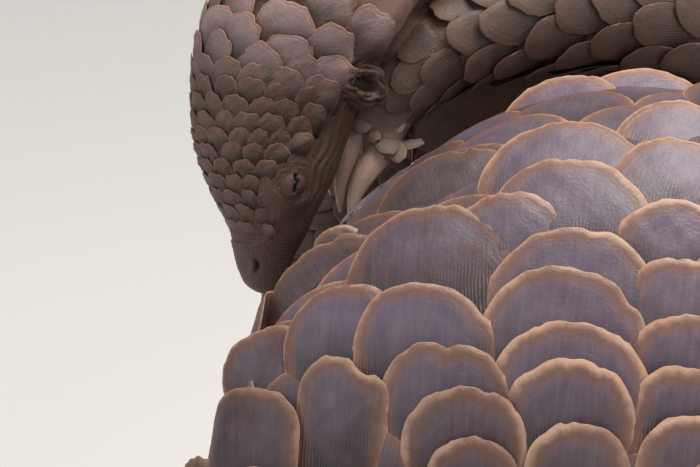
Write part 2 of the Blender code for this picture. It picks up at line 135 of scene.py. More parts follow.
clawRows = {
    "left": (
        ("inner", (-0.0790, 0.0640, 0.1120), (-0.0825, 0.0590, 0.1000), 0.0024),
        ("second", (-0.0785, 0.0560, 0.1060), (-0.0835, 0.0478, 0.0795), 0.0038),
        ("middle", (-0.0729, 0.0470, 0.1044), (-0.0803, 0.0367, 0.0772), 0.0041),
        ("fourth", (-0.0657, 0.0426, 0.0966), (-0.0769, 0.0316, 0.0766), 0.0045),
        ("outer", (-0.0570, 0.0460, 0.1080), (-0.0610, 0.0420, 0.0985), 0.0024),
    ),
    "right": (
        ("inner", (-0.0990, 0.0185, 0.0320), (-0.1010, 0.0045, 0.0290), 0.0024),
        ("second", (-0.0915, 0.0120, 0.0330), (-0.0925, -0.0200, 0.0240), 0.0040),
        ("middle", (-0.0818, 0.0100, 0.0335), (-0.0815, -0.0300, 0.0230), 0.0050),
        ("fourth", (-0.0720, 0.0120, 0.0330), (-0.0705, -0.0190, 0.0240), 0.0040),
        ("outer", (-0.0666, 0.0170, 0.0320), (-0.0650, 0.0040, 0.0290), 0.0024),
    ),
}
clawBends = {"left": (-0.0022, -0.0010, 0.0004), "right": (0.0, 0.0, 0.0030)}

# The camera comes first, because the large scales are placed through it
cameraPlan = {
    "target": (-0.07684, 0.0124, 0.214),
    "elevation": 18.0,
    "distance": 2.0,
    "frameWide": 700,
    "frameHigh": 467,
    "pixelsPerMetre": 2950.0,
}

slantedAxis = (0.31, 0.22, 0.92)      # lies along none of the limbs or claws, so a cross product with it is safe
curvePlan = {"bodyStep": 0.02, "limbStep": 0.03, "limbFrames": 400}
sheetPlan = {"turns": 181, "bodyPlaces": 1801, "limbPlaces": 301}


def unitRows(vectors):
    return vectors / np.maximum(np.linalg.norm(vectors, axis=-1, keepdims=True), 1e-12)


def smoothStep(low, high, value):
    part = np.clip((value - low) / (high - low), 0.0, 1.0)
    return part * part * (3.0 - 2.0 * part)


def curveAt(rows, place):
    # Catmull-Rom through the rows, the same curve as in the solids
    rows = np.asarray(rows, dtype=float)
    padded = np.vstack((2 * rows[:1] - rows[1:2], rows, 2 * rows[-1:] - rows[-2:-1]))
    place = np.clip(place, 0.0, len(rows) - 1.0)
    first = np.minimum(np.floor(place).astype(int), len(rows) - 2)
    part = (place - first)[:, None]
    before, start, end, after = (padded[first + k] for k in range(4))
    slope = (end - before) / 2
    slopeEnd = (after - start) / 2
    cubic = 2 * start - 2 * end + slope + slopeEnd
    square = 3 * end - 3 * start - 2 * slope - slopeEnd
    return ((cubic * part + square) * part + slope) * part + start


def bodyTable():
    roll = math.radians(headRoll)
    headBack = (-math.cos(roll), -math.sin(roll), 0.0)
    rows = []
    for x, y, height, wide, back, front in headRows:
        rows.append((*(ringCentre + (x, y, height)), *headBack, wide, back, front, 1.0))
    for x, y, height, bx, by, bz, wide, back, front in neckRows:
        rows.append((*(ringCentre + (x, y, height)), *unitRows(np.array((bx, by, bz))), wide, back, front, 1.0))
    for angle, radius, x, wide, back, front, sharp in ringRows:
        turn = math.radians(angle)
        out = np.array((0.0, -math.cos(turn), math.sin(turn)))
        rows.append((*(ringCentre + (x, 0.0, 0.0) + radius * out), *out, wide, back, front, sharp))
    for x, y, height, by, bz, wide, back, front, sharp in tailRows:
        rows.append((*(ringCentre + (x, y, height)), *unitRows(np.array((0.0, by, bz))), wide, back, front, sharp))
    return np.array(rows)


def bodyFrames(places):
    table = bodyTable()
    row = curveAt(table, places)
    step = curvePlan["bodyStep"]
    forward = unitRows(curveAt(table, places - step)[:, :3] - curveAt(table, places + step)[:, :3])
    back = row[:, 3:6]
    back = unitRows(back - forward * np.sum(back * forward, axis=1, keepdims=True))
    return row[:, :3], back, np.cross(back, forward), forward, row[:, 6:]


def bodyPoints(places, turns):
    centre, back, left, _, sizes = bodyFrames(places)
    angle = np.radians(turns)
    lift = np.cos(angle)[None, :]
    wide, rise, drop, sharp = (sizes[:, k][:, None] for k in range(4))
    depth = np.where(lift > 0, rise, drop) * np.sign(lift) * np.abs(lift) ** sharp
    across = wide * np.sin(angle)[None, :]
    return centre[:, None] + back[:, None] * depth[..., None] + left[:, None] * across[..., None]


def limbPoints(rows, places, turns):
    table = np.array(rows)
    table[:, :3] += ringCentre
    fine = np.linspace(0.0, len(rows) - 1.0, curvePlan["limbFrames"])
    step = curvePlan["limbStep"]
    along = unitRows(curveAt(table, fine + step)[:, :3] - curveAt(table, fine - step)[:, :3])
    side = np.zeros_like(along)
    side[0] = unitRows(np.cross(along[0], slantedAxis))
    for number in range(1, len(fine)):
        last = side[number - 1]
        side[number] = unitRows(last - along[number] * np.dot(last, along[number]))
    sideAt = unitRows(np.array([np.interp(places, fine, side[:, k]) for k in range(3)]).T)
    alongAt = unitRows(np.array([np.interp(places, fine, along[:, k]) for k in range(3)]).T)
    other = np.cross(alongAt, sideAt)
    row = curveAt(table, places)
    angle = np.radians(turns)
    ring = sideAt[:, None] * np.cos(angle)[None, :, None] + other[:, None] * np.sin(angle)[None, :, None]
    return row[:, None, :3] + ring * row[:, None, 3:4]


def makeSheet(points, places, turns):
    # a sheet is an outline surface with its normals, and lengths along it and round it
    alongStep = np.gradient(points, axis=0)
    acrossStep = np.gradient(points, axis=1)
    normal = np.cross(alongStep, acrossStep)
    middle = points.mean(axis=1, keepdims=True)
    outward = np.sum(normal * (points - middle)) > 0
    normal = unitRows(normal if outward else -normal)
    seam = unitRows(normal[:, 0] + normal[:, -1])
    normal[:, 0] = seam
    normal[:, -1] = seam
    gapAlong = np.linalg.norm(np.diff(points, axis=0), axis=2)
    gapAcross = np.linalg.norm(np.diff(points, axis=1), axis=2)
    run = np.vstack((np.zeros((1, len(turns))), np.cumsum(gapAlong, axis=0)))
    arc = np.hstack((np.zeros((len(places), 1)), np.cumsum(gapAcross, axis=1)))
    arc = arc - arc[:, len(turns) // 2][:, None]
    return {"points": points, "normals": normal, "places": places, "turns": turns, "run": run, "arc": arc}


def sheetAt(sheet, place, turn):
    places, turns = sheet["places"], sheet["turns"]
    turn = (np.asarray(turn) + 180.0) % 360.0 - 180.0
    row = (np.clip(place, places[0], places[-1]) - places[0]) / (places[1] - places[0])
    column = (turn - turns[0]) / (turns[1] - turns[0])
    r0 = np.clip(np.floor(row).astype(int), 0, len(places) - 2)
    c0 = np.clip(np.floor(column).astype(int), 0, len(turns) - 2)
    fr = (row - r0)[..., None]
    fc = (column - c0)[..., None]
    result = []
    for grid in (sheet["points"], sheet["normals"]):
        low = grid[r0, c0] * (1 - fc) + grid[r0, c0 + 1] * fc
        high = grid[r0 + 1, c0] * (1 - fc) + grid[r0 + 1, c0 + 1] * fc
        result.append(low * (1 - fr) + high * fr)
    return result[0], unitRows(result[1])


turnSamples = np.linspace(-180.0, 180.0, sheetPlan["turns"])
lastPlace = float(len(headRows) + len(neckRows) + len(ringRows) + len(tailRows) - 1)
bodyPlaces = np.linspace(0.0, lastPlace, sheetPlan["bodyPlaces"])
bodySheet = makeSheet(bodyPoints(bodyPlaces, turnSamples), bodyPlaces, turnSamples)
limbSheets = {}
for limbName, rows in limbRows.items():
    limbPlaces = np.linspace(0.0, len(rows) - 1.0, sheetPlan["limbPlaces"])
    limbSheets[limbName] = makeSheet(limbPoints(rows, limbPlaces, turnSamples), limbPlaces, turnSamples)
print("outlines sampled")

# How far the skin lies inside the outline, and how far round from the back the scales reach
coatPlan = {
    "depthPlaces": (0.0, 2.0, 3.0, 6.0, 8.0, 9.0, 12.0, 14.0, 30.0, 34.0, 36.0),
    "depths": (0.0005, 0.0008, 0.0012, 0.0021, 0.0030, 0.0040, 0.0052, 0.0068, 0.0062, 0.0042, 0.0025),
    "reachPlaces": (1.9, 2.4, 3.6, 4.2, 4.6, 5.2, 6.0, 8.0, 9.0, 11.0, 13.0, 24.0, 25.5, 36.0),
    "reach": (12.0, 60.0, 74.0, 66.0, 60.0, 70.0, 92.0, 98.0, 112.0, 118.0, 118.0, 118.0, 181.0, 181.0),
    "fade": (-4.0, 8.0),      # degrees from the last scales over which the skin rises to the outline
    "bareBefore": 2.2,
    "bareDepth": 0.0004,
    "limbDepth": 0.0034,
    "footDepth": 0.0012,
    "footFade": (2.4, 0.8),      # places before the limb's end
}


def coatReach(place):
    return np.interp(place, coatPlan["reachPlaces"], coatPlan["reach"])


def fullDepth(place):
    return np.interp(place, coatPlan["depthPlaces"], coatPlan["depths"])


def coatDepth(place, turn):
    away = np.abs((np.asarray(turn) + 180.0) % 360.0 - 180.0)
    covered = 1.0 - smoothStep(*coatPlan["fade"], away - coatReach(place))
    covered = np.where(np.asarray(place) < coatPlan["bareBefore"], 0.0, covered)
    return coatPlan["bareDepth"] + (fullDepth(place) - coatPlan["bareDepth"]) * covered


def limbDepth(sheet):
    start, end = (sheet["places"][-1] - share for share in coatPlan["footFade"])

    def depthAt(place, turn):
        part = smoothStep(start, end, np.asarray(place) + 0.0 * np.asarray(turn))
        return coatPlan["limbDepth"] * (1 - part) + coatPlan["footDepth"] * part
    return depthAt


# Short ways to add shader nodes: a value is a number, a colour or the output of another node
def nodesOf(material):
    material.use_nodes = True
    tree = material.node_tree
    return tree, tree.nodes["Principled BSDF"]


def isSocket(value):
    return isinstance(value, bpy.types.NodeSocket)


def treeOf(*values):
    return next(value.id_data for value in values if isSocket(value))


def addNode(tree, kind, inputs=(), **settings):
    node = tree.nodes.new(kind)
    for key, value in settings.items():
        setattr(node, key, value)
    for key, value in dict(inputs).items():
        if isSocket(value):
            tree.links.new(value, node.inputs[key])
        else:
            node.inputs[key].default_value = value
    return node


def attributeAt(tree, name):
    return addNode(tree, "ShaderNodeAttribute", attribute_name=name).outputs["Fac"]


def placeAt(tree):
    return addNode(tree, "ShaderNodeTexCoord").outputs["Object"]


def mixColour(factor, first, second, blend="MIX"):
    inputs = {0: factor}
    for key, value in ((6, first), (7, second)):
        inputs[key] = value if isSocket(value) else (*value, 1.0)
    tree = treeOf(factor, first, second)
    return addNode(tree, "ShaderNodeMix", inputs, data_type="RGBA", blend_type=blend).outputs[2]


def maths(kind, first, second=0.0, clamp=False):
    inputs = {0: first, 1: second}
    return addNode(treeOf(first, second), "ShaderNodeMath", inputs, operation=kind, use_clamp=clamp).outputs[0]


def plus(first, second, clamp=False):
    return maths("ADD", first, second, clamp)


def minus(first, second):
    return maths("SUBTRACT", first, second)


def times(first, second):
    return maths("MULTIPLY", first, second)


def rampBetween(value, low, high, start=0.0, end=1.0):
    inputs = {0: value, 1: low, 2: high, 3: start, 4: end}
    return addNode(treeOf(value), "ShaderNodeMapRange", inputs, interpolation_type="SMOOTHSTEP").outputs[0]


def noiseAt(vector, scale, detail=4.0, rough=0.55, distortion=0.0):
    inputs = {"Vector": vector, "Scale": scale, "Detail": detail, "Roughness": rough, "Distortion": distortion}
    return addNode(treeOf(vector), "ShaderNodeTexNoise", inputs).outputs[0]


def finishShader(tree, shader, colour, rough, relief, strength, distance):
    bump = addNode(tree, "ShaderNodeBump", {"Strength": strength, "Distance": distance, "Height": relief})
    for key, value in (("Base Color", colour), ("Roughness", rough), ("Normal", bump.outputs[0])):
        tree.links.new(value, shader.inputs[key])


# Looks of the scales: colours, widths in metres, amounts from 0 to 1, and lumps to the metre. The root colour with
# rootAmount is painted shade towards each scale's root, where the scale above overlaps it; the same colour also
# darkens the ring inside worn rims
neckTone = (0.190, 0.112, 0.088)
bigScaleLook = {
    "centre": (0.142, 0.107, 0.166), "centreWarm": (0.130, 0.070, 0.078), "root": (0.040, 0.025, 0.024),
    "rim": (0.190, 0.088, 0.054), "edge": (0.580, 0.345, 0.230), "dust": (0.270, 0.212, 0.215),
    "worn": (0.128, 0.078, 0.084), "wornAmount": 0.45, "edgeAmount": 0.45, "ring": 0.22,
    "rimWide": 0.0074, "edgeWide": 0.00060, "ridge": 0.00110, "ridgeAmount": 0.38, "ridgeEnd": 0.66, "growth": 0.04,
    "streaks": 0.32, "roughness": 0.41, "relief": 0.00034, "dustAmount": 0.34, "lumps": 75.0, "speckle": 0.42,
    "toneSpread": 0.42, "rootAmount": 0.82,
}
headScaleLook = {
    "centre": (0.124, 0.064, 0.046), "centreWarm": (0.198, 0.103, 0.071), "root": (0.026, 0.014, 0.010),
    "rim": (0.188, 0.098, 0.066), "edge": (0.225, 0.132, 0.094), "dust": (0.235, 0.148, 0.112),
    "worn": (0.268, 0.190, 0.188), "wornAmount": 0.60, "edgeAmount": 0.25, "ring": 0.0,
    "rimWide": 0.0013, "edgeWide": 0.0003, "ridge": 0.0009, "ridgeAmount": 0.10, "ridgeEnd": 0.60, "growth": 0.05,
    "streaks": 0.10, "roughness": 0.58, "relief": 0.00085, "dustAmount": 0.45, "lumps": 280.0, "speckle": 0.82,
    "toneSpread": 0.20, "rootAmount": 0.92,
}
neckScaleLook = {
    "centre": (0.205, 0.118, 0.088), "centreWarm": (0.265, 0.158, 0.112), "root": (0.066, 0.040, 0.030),
    "rim": (0.225, 0.128, 0.086), "edge": (0.300, 0.190, 0.132), "dust": (0.32, 0.230, 0.175),
    "worn": (0.260, 0.170, 0.130), "wornAmount": 0.40, "edgeAmount": 0.35, "ring": 0.0,
    "rimWide": 0.0036, "edgeWide": 0.0004, "ridge": 0.0011, "ridgeAmount": 0.14, "ridgeEnd": 0.60, "growth": 0.05,
    "streaks": 0.15, "roughness": 0.54, "relief": 0.00040, "dustAmount": 0.40, "lumps": 140.0, "speckle": 0.50,
    "toneSpread": 0.16, "rootAmount": 0.85,
}
# the leg scales are much darker than the neck's: painted shade, as the forearm lies in shadow
legScaleShadedLook = dict(
    neckScaleLook, centre=(0.098, 0.052, 0.038), centreWarm=(0.160, 0.086, 0.060), rim=(0.140, 0.074, 0.050),
    edge=(0.170, 0.098, 0.070), dust=(0.190, 0.120, 0.088), speckle=0.65, toneSpread=0.30)
footScaleLook = {
    "centre": (0.190, 0.118, 0.085), "centreWarm": (0.150, 0.090, 0.064), "root": (0.070, 0.042, 0.031),
    "rim": (0.235, 0.150, 0.108), "edge": (0.310, 0.210, 0.160), "dust": (0.260, 0.178, 0.135),
    "worn": (0.290, 0.205, 0.165), "wornAmount": 1.00, "edgeAmount": 0.30, "ring": 0.0,
    "rimWide": 0.0014, "edgeWide": 0.0004, "ridge": 0.0009, "ridgeAmount": 0.20, "ridgeEnd": 0.60, "growth": 0.05,
    "streaks": 0.15, "roughness": 0.60, "relief": 0.00045, "dustAmount": 0.30, "lumps": 260.0, "speckle": 0.50,
    "toneSpread": 0.25, "rootAmount": 0.80,
}

# What all scales share. Sizes of noise are to the metre; a pair is where a fade starts and ends, and the
# next two numbers, where there are four, are the values there
hornPlan = {
    "grain": 900.0, "wander": 260.0, "streak": 520.0, "streakStretch": 0.10, "dust": 28.0, "patch": 40.0,
    "ridgePatch": 42.0, "ridgeBend": 90.0, "bendAmount": 0.0022, "growthShare": 1.7,
    "rimWander": 0.55, "warmShift": 0.22, "warmTint": 0.42, "warmFade": (0.42, 0.74), "streakFade": (0.35, 0.75),
    "rootShadeFade": (0.86, 0.28), "dustFade": (0.48, 0.78), "rimNarrow": 0.80, "rimWorn": 0.40,
    "ringInside": (0.55, 1.00), "ringOutside": (2.1, 1.10), "rimFade": (1.0, 0.15, 0.0, 0.92),
    "patchFade": (0.38, 0.60, 0.22, 1.15), "glowWorn": 0.85, "glowLeast": 0.02, "glowFade": (0.44, 0.03),
    "edgeFrom": 2.0, "edgeTo": 0.15, "tone": 0.98, "ridgeStart": 0.32, "ridgePatchFade": (0.36, 0.60, 0.15, 1.0),
    "roughGrain": 0.22, "roughShift": -0.10, "roughDust": 0.35, "reliefGrain": 0.55, "reliefLumps": 0.9, "bump": 0.75,
}


def scaleMaterial(name, look):
    tree, shader = nodesOf(bpy.data.materials.new(name))
    horn = hornPlan
    rim, along, tint, wear, brown = (attributeAt(tree, key) for key in ("rim", "along", "tint", "wear", "brown"))
    flat = addNode(tree, "ShaderNodeUVMap", uv_map="ScaleUV").outputs[0]
    place = placeAt(tree)
    lumps = noiseAt(place, look["lumps"], detail=5.0, rough=0.6)
    grain = noiseAt(place, horn["grain"], detail=3.0, rough=0.6)
    wander = noiseAt(place, horn["wander"], detail=3.0, rough=0.6)
    # the rim's width wanders a little round each scale
    rimHere = plus(rim, times(minus(wander, 0.5), look["rimWide"] * horn["rimWander"]))
    warmth = minus(plus(lumps, horn["warmShift"]), times(tint, horn["warmTint"]))
    body = mixColour(rampBetween(warmth, *horn["warmFade"]), look["centre"], look["centreWarm"])
    body = mixColour(times(wear, look["wornAmount"]), body, look["worn"])
    stretched = addNode(tree, "ShaderNodeMapping", {"Vector": flat, "Scale": (1.0, horn["streakStretch"], 1.0)})
    streaks = noiseAt(stretched.outputs[0], horn["streak"], detail=4.0, rough=0.65, distortion=0.4)
    body = mixColour(rampBetween(streaks, *horn["streakFade"], 0.0, look["streaks"]), body, look["dust"])
    # painted shade: each scale darkens towards its root, under the scale that overlaps it
    body = mixColour(times(rampBetween(along, *horn["rootShadeFade"]), look["rootAmount"]), body, look["root"])
    body = mixColour(brown, body, neckTone)
    dusty = rampBetween(noiseAt(place, horn["dust"], detail=6.0, rough=0.7), *horn["dustFade"])
    dusty = times(dusty, look["dustAmount"])
    body = mixColour(dusty, body, look["dust"])
    # worn scales have a broad pale rim inside a dark ring, the others a narrow brown one; the rim's paleness is
    # partly wear and partly painted glow of light through the thin edge
    spread = plus(times(wear, look["rimWide"] * horn["rimWorn"]), look["rimWide"] * horn["rimNarrow"])
    rimShare = maths("DIVIDE", rimHere, spread)
    ring = rampBetween(rimShare, *horn["ringOutside"], 0.0, look["ring"])
    body = mixColour(times(rampBetween(rimShare, *horn["ringInside"]), ring), body, look["root"])
    body = mixColour(rampBetween(rimShare, *horn["rimFade"]), body, look["rim"])
    # pale patches by the rim and the thin pale line on the very edge: partly pale worn horn, partly painted glow of
    # light shining through the thin edge
    patches = rampBetween(noiseAt(place, horn["patch"], detail=3.0), *horn["patchFade"])
    wearAndPaintedGlow = times(plus(times(wear, horn["glowWorn"]), horn["glowLeast"]), patches)
    body = mixColour(times(wearAndPaintedGlow, rampBetween(rimShare, *horn["glowFade"])), body, look["edge"])
    edgeLimits = (look["edgeWide"] * horn["edgeFrom"], look["edgeWide"] * horn["edgeTo"])
    body = mixColour(rampBetween(rimHere, *edgeLimits, 0.0, look["edgeAmount"]), body, look["edge"])
    # every scale has its own tone, with speckles from dirt and wear; on the large scales the tone also carries
    # painted light, lighter to the right and at the top
    mottle = plus(times(grain, 0.5), times(wander, 0.5))
    shade = plus(times(minus(tint, 0.5), look["toneSpread"]), horn["tone"] - look["speckle"] * 0.5)
    shade = plus(shade, times(mottle, look["speckle"]))
    grey = addNode(tree, "ShaderNodeCombineColor", {0: shade, 1: shade, 2: shade})
    body = mixColour(1.0, body, grey.outputs[0], "MULTIPLY")
    rough = plus(times(grain, horn["roughGrain"]), look["roughness"] + horn["roughShift"])
    rough = plus(rough, times(dusty, horn["roughDust"]), clamp=True)
    # fine ridges run from the root and die out towards the tip
    across = addNode(tree, "ShaderNodeSeparateXYZ", {"Vector": flat}).outputs[0]
    bend = times(minus(noiseAt(flat, horn["ridgeBend"], detail=2.0), 0.5), horn["bendAmount"])
    ridges = maths("SINE", times(plus(across, bend), 2 * math.pi / look["ridge"]))
    ridges = times(ridges, rampBetween(along, look["ridgeEnd"], horn["ridgeStart"], 0.0, look["ridgeAmount"]))
    ridges = times(ridges, rampBetween(noiseAt(place, horn["ridgePatch"], detail=2.0), *horn["ridgePatchFade"]))
    growth = maths("SINE", times(rimHere, 2 * math.pi / (look["ridge"] * horn["growthShare"])))
    growth = times(growth, rampBetween(rim, look["rimWide"] * 3.0, look["edgeWide"], 0.0, look["growth"]))
    relief = plus(plus(ridges, growth), times(grain, horn["reliefGrain"]))
    relief = plus(relief, times(lumps, horn["reliefLumps"]))
    finishShader(tree, shader, body, rough, relief, horn["bump"], look["relief"])
    return bpy.data.materials[name]


skinLook = {
    "base": (0.102, 0.051, 0.034), "warm": (0.138, 0.070, 0.045), "pale": (0.22, 0.145, 0.105),
    "creaseShade": (0.032, 0.018, 0.014), "snout": (0.120, 0.066, 0.051), "throat": (0.150, 0.083, 0.050),
    "finger": (0.270, 0.180, 0.145), "blotch": 55.0, "fine": 700.0, "cells": 640.0, "cellStretch": 0.45,
    "wobble": 240.0, "wobbleReach": 0.006, "lineWide": 0.16, "paleAmount": 0.35, "lineAmount": 0.16,
    "rough": 0.48, "roughFine": 0.25, "reliefLines": 0.35, "reliefFine": 0.7, "bump": 0.7, "relief": 0.0004,
}


def skinMaterial(name):
    tree, shader = nodesOf(bpy.data.materials.new(name))
    look = skinLook
    place = placeAt(tree)
    blotch = noiseAt(place, look["blotch"], detail=6.0, rough=0.65)
    fine = noiseAt(place, look["fine"], detail=4.0, rough=0.65)
    # small cells with sunken lines between them, drawn out along the animal's height
    wobble = addNode(tree, "ShaderNodeTexNoise", {"Vector": place, "Scale": look["wobble"], "Detail": 3.0})
    reach = (look["wobbleReach"],) * 3
    bent = addNode(tree, "ShaderNodeVectorMath", {0: wobble.outputs[1], 1: reach}, operation="MULTIPLY")
    moved = addNode(tree, "ShaderNodeVectorMath", {0: place, 1: bent.outputs[0]}, operation="ADD")
    stretch = (1.0, 1.0, look["cellStretch"])
    warped = addNode(tree, "ShaderNodeMapping", {"Vector": moved.outputs[0], "Scale": stretch})
    cellInputs = {"Vector": warped.outputs[0], "Scale": look["cells"]}
    cell = addNode(tree, "ShaderNodeTexVoronoi", cellInputs, feature="DISTANCE_TO_EDGE")
    lines = rampBetween(cell.outputs[0], 0.0, look["lineWide"])
    body = mixColour(rampBetween(blotch, 0.35, 0.68), look["base"], look["warm"])
    for key in ("throat", "snout", "finger"):
        body = mixColour(attributeAt(tree, key), body, look[key])
    body = mixColour(times(rampBetween(fine, 0.5, 0.8), look["paleAmount"]), body, look["pale"])
    # painted shade: the sunken lines between the cells, and the hollows, creases and folds of the head and ears, are
    # darkened
    body = mixColour(times(minus(1.0, lines), look["lineAmount"]), body, look["creaseShade"])
    body = mixColour(attributeAt(tree, "fold"), body, look["creaseShade"])
    rough = plus(times(fine, look["roughFine"]), look["rough"])
    relief = plus(times(lines, look["reliefLines"]), times(fine, look["reliefFine"]))
    finishShader(tree, shader, body, rough, plus(relief, blotch), look["bump"], look["relief"])
    return bpy.data.materials[name]


clawLook = {
    "horn": (0.660, 0.420, 0.325), "dark": (0.360, 0.205, 0.150), "pale": (0.76, 0.55, 0.455), "blotch": 160.0,
    "grain": 1300.0, "linesRound": 26.0, "linesAlong": 2.2, "lines": 1.6, "lineAmount": 0.45, "rootAmount": 0.6,
    "rootShare": 0.25, "rough": 0.36, "roughGrain": 0.2, "reliefLines": 1.2, "reliefGrain": 0.4, "bump": 0.7,
    "relief": 0.0003,
}


def clawMaterial(name):
    tree, shader = nodesOf(bpy.data.materials.new(name))
    look = clawLook
    place = placeAt(tree)
    along, around = (attributeAt(tree, key) for key in ("along", "around"))
    blotch = noiseAt(place, look["blotch"], detail=5.0, rough=0.6)
    grain = noiseAt(place, look["grain"], detail=3.0, rough=0.6)
    lineInputs = {"X": times(around, look["linesRound"]), "Y": times(along, look["linesAlong"])}
    lineVector = addNode(tree, "ShaderNodeCombineXYZ", lineInputs)
    lines = noiseAt(lineVector.outputs[0], look["lines"], detail=3.0, rough=0.6)
    body = mixColour(rampBetween(blotch, 0.35, 0.7), look["horn"], look["pale"])
    body = mixColour(rampBetween(lines, 0.45, 0.75, 0.0, look["lineAmount"]), body, look["dark"])
    body = mixColour(rampBetween(along, look["rootShare"], 0.0, 0.0, look["rootAmount"]), body, look["dark"])
    rough = plus(times(grain, look["roughGrain"]), look["rough"])
    relief = plus(times(lines, look["reliefLines"]), times(grain, look["reliefGrain"]))
    finishShader(tree, shader, body, rough, relief, look["bump"], look["relief"])
    return bpy.data.materials[name]


eyeLook = {"dark": (0.006, 0.005, 0.006), "brown": (0.022, 0.016, 0.014), "haze": 420.0, "rough": 0.10,
           "wet": 0.8, "wetRough": 0.04}


def eyeMaterial(name):
    tree, shader = nodesOf(bpy.data.materials.new(name))
    haze = noiseAt(placeAt(tree), eyeLook["haze"], detail=3.0, rough=0.5)
    body = mixColour(rampBetween(haze, 0.4, 0.7), eyeLook["dark"], eyeLook["brown"])
    tree.links.new(body, shader.inputs["Base Color"])
    shader.inputs["Roughness"].default_value = eyeLook["rough"]
    shader.inputs["Coat Weight"].default_value = eyeLook["wet"]
    shader.inputs["Coat Roughness"].default_value = eyeLook["wetRough"]
    return bpy.data.materials[name]


materials = {
    "bigScale": scaleMaterial("bigScaleHorn", bigScaleLook),
    "headScale": scaleMaterial("headScaleHorn", headScaleLook),
    "neckScale": scaleMaterial("neckScaleHorn", neckScaleLook),
    "legScale": scaleMaterial("legScaleHorn", legScaleShadedLook),
    "footScale": scaleMaterial("footScaleHorn", footScaleLook),
    "skin": skinMaterial("bareSkin"),
    "claw": clawMaterial("clawHorn"),
    "eye": eyeMaterial("darkEye"),
}
print("materials made")


def newPiece(name, points, faces, material):
    mesh = bpy.data.meshes.new(name)
    mesh.from_pydata([tuple(p) for p in points], [], [tuple(int(k) for k in f) for f in faces])
    mesh.shade_smooth()
    piece = bpy.data.objects.new(name, mesh)
    bpy.context.scene.collection.objects.link(piece)
    mesh.materials.append(material)
    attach(piece, "root")
    return piece


def setValues(mesh, name, values):
    layer = mesh.attributes.new(name, "FLOAT", "POINT")
    layer.data.foreach_set("value", np.asarray(values, dtype=np.float32))


# One scale is a closed plate: a grid above, the same grid below, and a rim between them. Its patch in the
# bake map holds the upper side, the rim and the under side beside each other, in shares of the patch
patchPlan = {"margin": 0.01, "high": 0.98, "topWide": 0.72, "rim": (0.745, 0.765), "lowLeft": 0.78,
             "lowWide": 0.20, "fill": 0.96, "bare": 0.02}
tipCrowding = 1.55      # above 1, the grid's rows lie closer together towards the tip


def plateGrid(columns, rows):
    side = np.sin(np.linspace(-1.0, 1.0, columns + 1) * math.pi / 2)
    up = 1.0 - (1.0 - np.linspace(0.0, 1.0, rows + 1)) ** tipCrowding
    tau, xi = (values.ravel() for values in np.meshgrid(up, side, indexing="ij"))
    across = columns + 1
    count = across * (rows + 1)
    corners = np.array([r * across + c for r in range(rows) for c in range(columns)])
    quads = np.stack((corners, corners + 1, corners + across + 1, corners + across), axis=1)
    under = quads[:, ::-1] + count
    loop = list(range(across)) + [r * across + columns for r in range(1, rows + 1)]
    loop += [rows * across + c for c in range(columns - 1, -1, -1)] + [r * across for r in range(rows - 1, 0, -1)]
    loop = np.array(loop)
    after = np.roll(loop, -1)
    rim = np.stack((loop, loop + count, after + count, after), axis=1)
    # the free outline runs up one side, round the tip and down the other
    free = [r * across for r in range(rows + 1)] + [rows * across + c for c in range(1, columns + 1)]
    free += [r * across + columns for r in range(rows - 1, -1, -1)]
    start = np.arange(len(loop)) / len(loop)
    end = start + patchPlan["high"] / len(loop)
    left, right = patchPlan["rim"]
    rimCorners = ((left, start), (right, start), (right, end), (left, end))
    rimUv = [np.stack((np.full(len(loop), u), v), axis=1) for u, v in rimCorners]
    flatU, flatV = (xi + 1) / 2, patchPlan["margin"] + tau * patchPlan["high"]
    topUv = np.stack((patchPlan["margin"] + flatU * patchPlan["topWide"], flatV), axis=1)
    lowUv = np.stack((patchPlan["lowLeft"] + flatU * patchPlan["lowWide"], flatV), axis=1)
    bothUv = np.vstack((topUv, lowUv))
    cornerUv = [rows.reshape(-1, 2) for rows in (bothUv[quads], bothUv[under], np.stack(rimUv, axis=1))]
    return {"xi": xi, "tau": tau, "quads": np.vstack((quads, under, rim)), "count": count,
            "free": np.array(free), "cornerUv": np.vstack(cornerUv)}


grids = {"fine": plateGrid(40, 28), "middle": plateGrid(16, 13), "head": plateGrid(14, 11), "small": plateGrid(10, 9)}


def edgeDistance(x, y, line):
    # distance of each point from a run of short straight pieces
    start, end = line[:-1], line[1:]
    step = end - start
    size = np.maximum(np.sum(step * step, axis=1), 1e-14)
    dx = x[:, None] - start[None, :, 0]
    dy = y[:, None] - start[None, :, 1]
    part = np.clip((dx * step[:, 0] + dy * step[:, 1]) / size, 0.0, 1.0)
    return np.sqrt(np.min((dx - part * step[:, 0]) ** 2 + (dy - part * step[:, 1]) ** 2, axis=1))


# The form that all plates share. A pair is a share at the root or edge, and what it gains further on
platePlan = {
    "rootWide": (0.86, 0.14), "widest": 1.5, "corner": 1.7, "round": 1.9, "waves": (2.3, 4.1, 7.3), "rise": 0.9,
    "sunk": 0.0006, "domeShare": (0.4, 0.6), "lumpPitch": 0.42, "lumpStart": 0.10, "edgeDrop": 0.30,
    "edgeThick": (0.52, 0.48), "rootThick": (0.55, 0.45),
}
fullTurn = 6.28
floorGap = {"scales": 0.0002, "skin": 0.0003}


def tipShape(xi, plan, rng):
    # share of the full length that each column reaches
    moved = xi - plan.get("apexShift", 0.0) * (1.0 - xi ** 2)
    arch = np.maximum(1.0 - np.abs(moved) ** plan["power"], 0.0) ** (1.0 / platePlan["round"])
    reach = plan["shoulder"] + (1.0 - plan["shoulder"]) * arch
    for count in platePlan["waves"]:
        wave = np.sin(xi * count * math.pi + rng.uniform(0, fullTurn))
        reach = reach + plan["wave"] / count ** 0.5 * wave * rng.uniform(0.3, 1.0)
    for centre, depth, wide in plan.get("notches", ()):
        reach = reach - depth * np.exp(-((xi - centre) / wide) ** 2)
    return reach


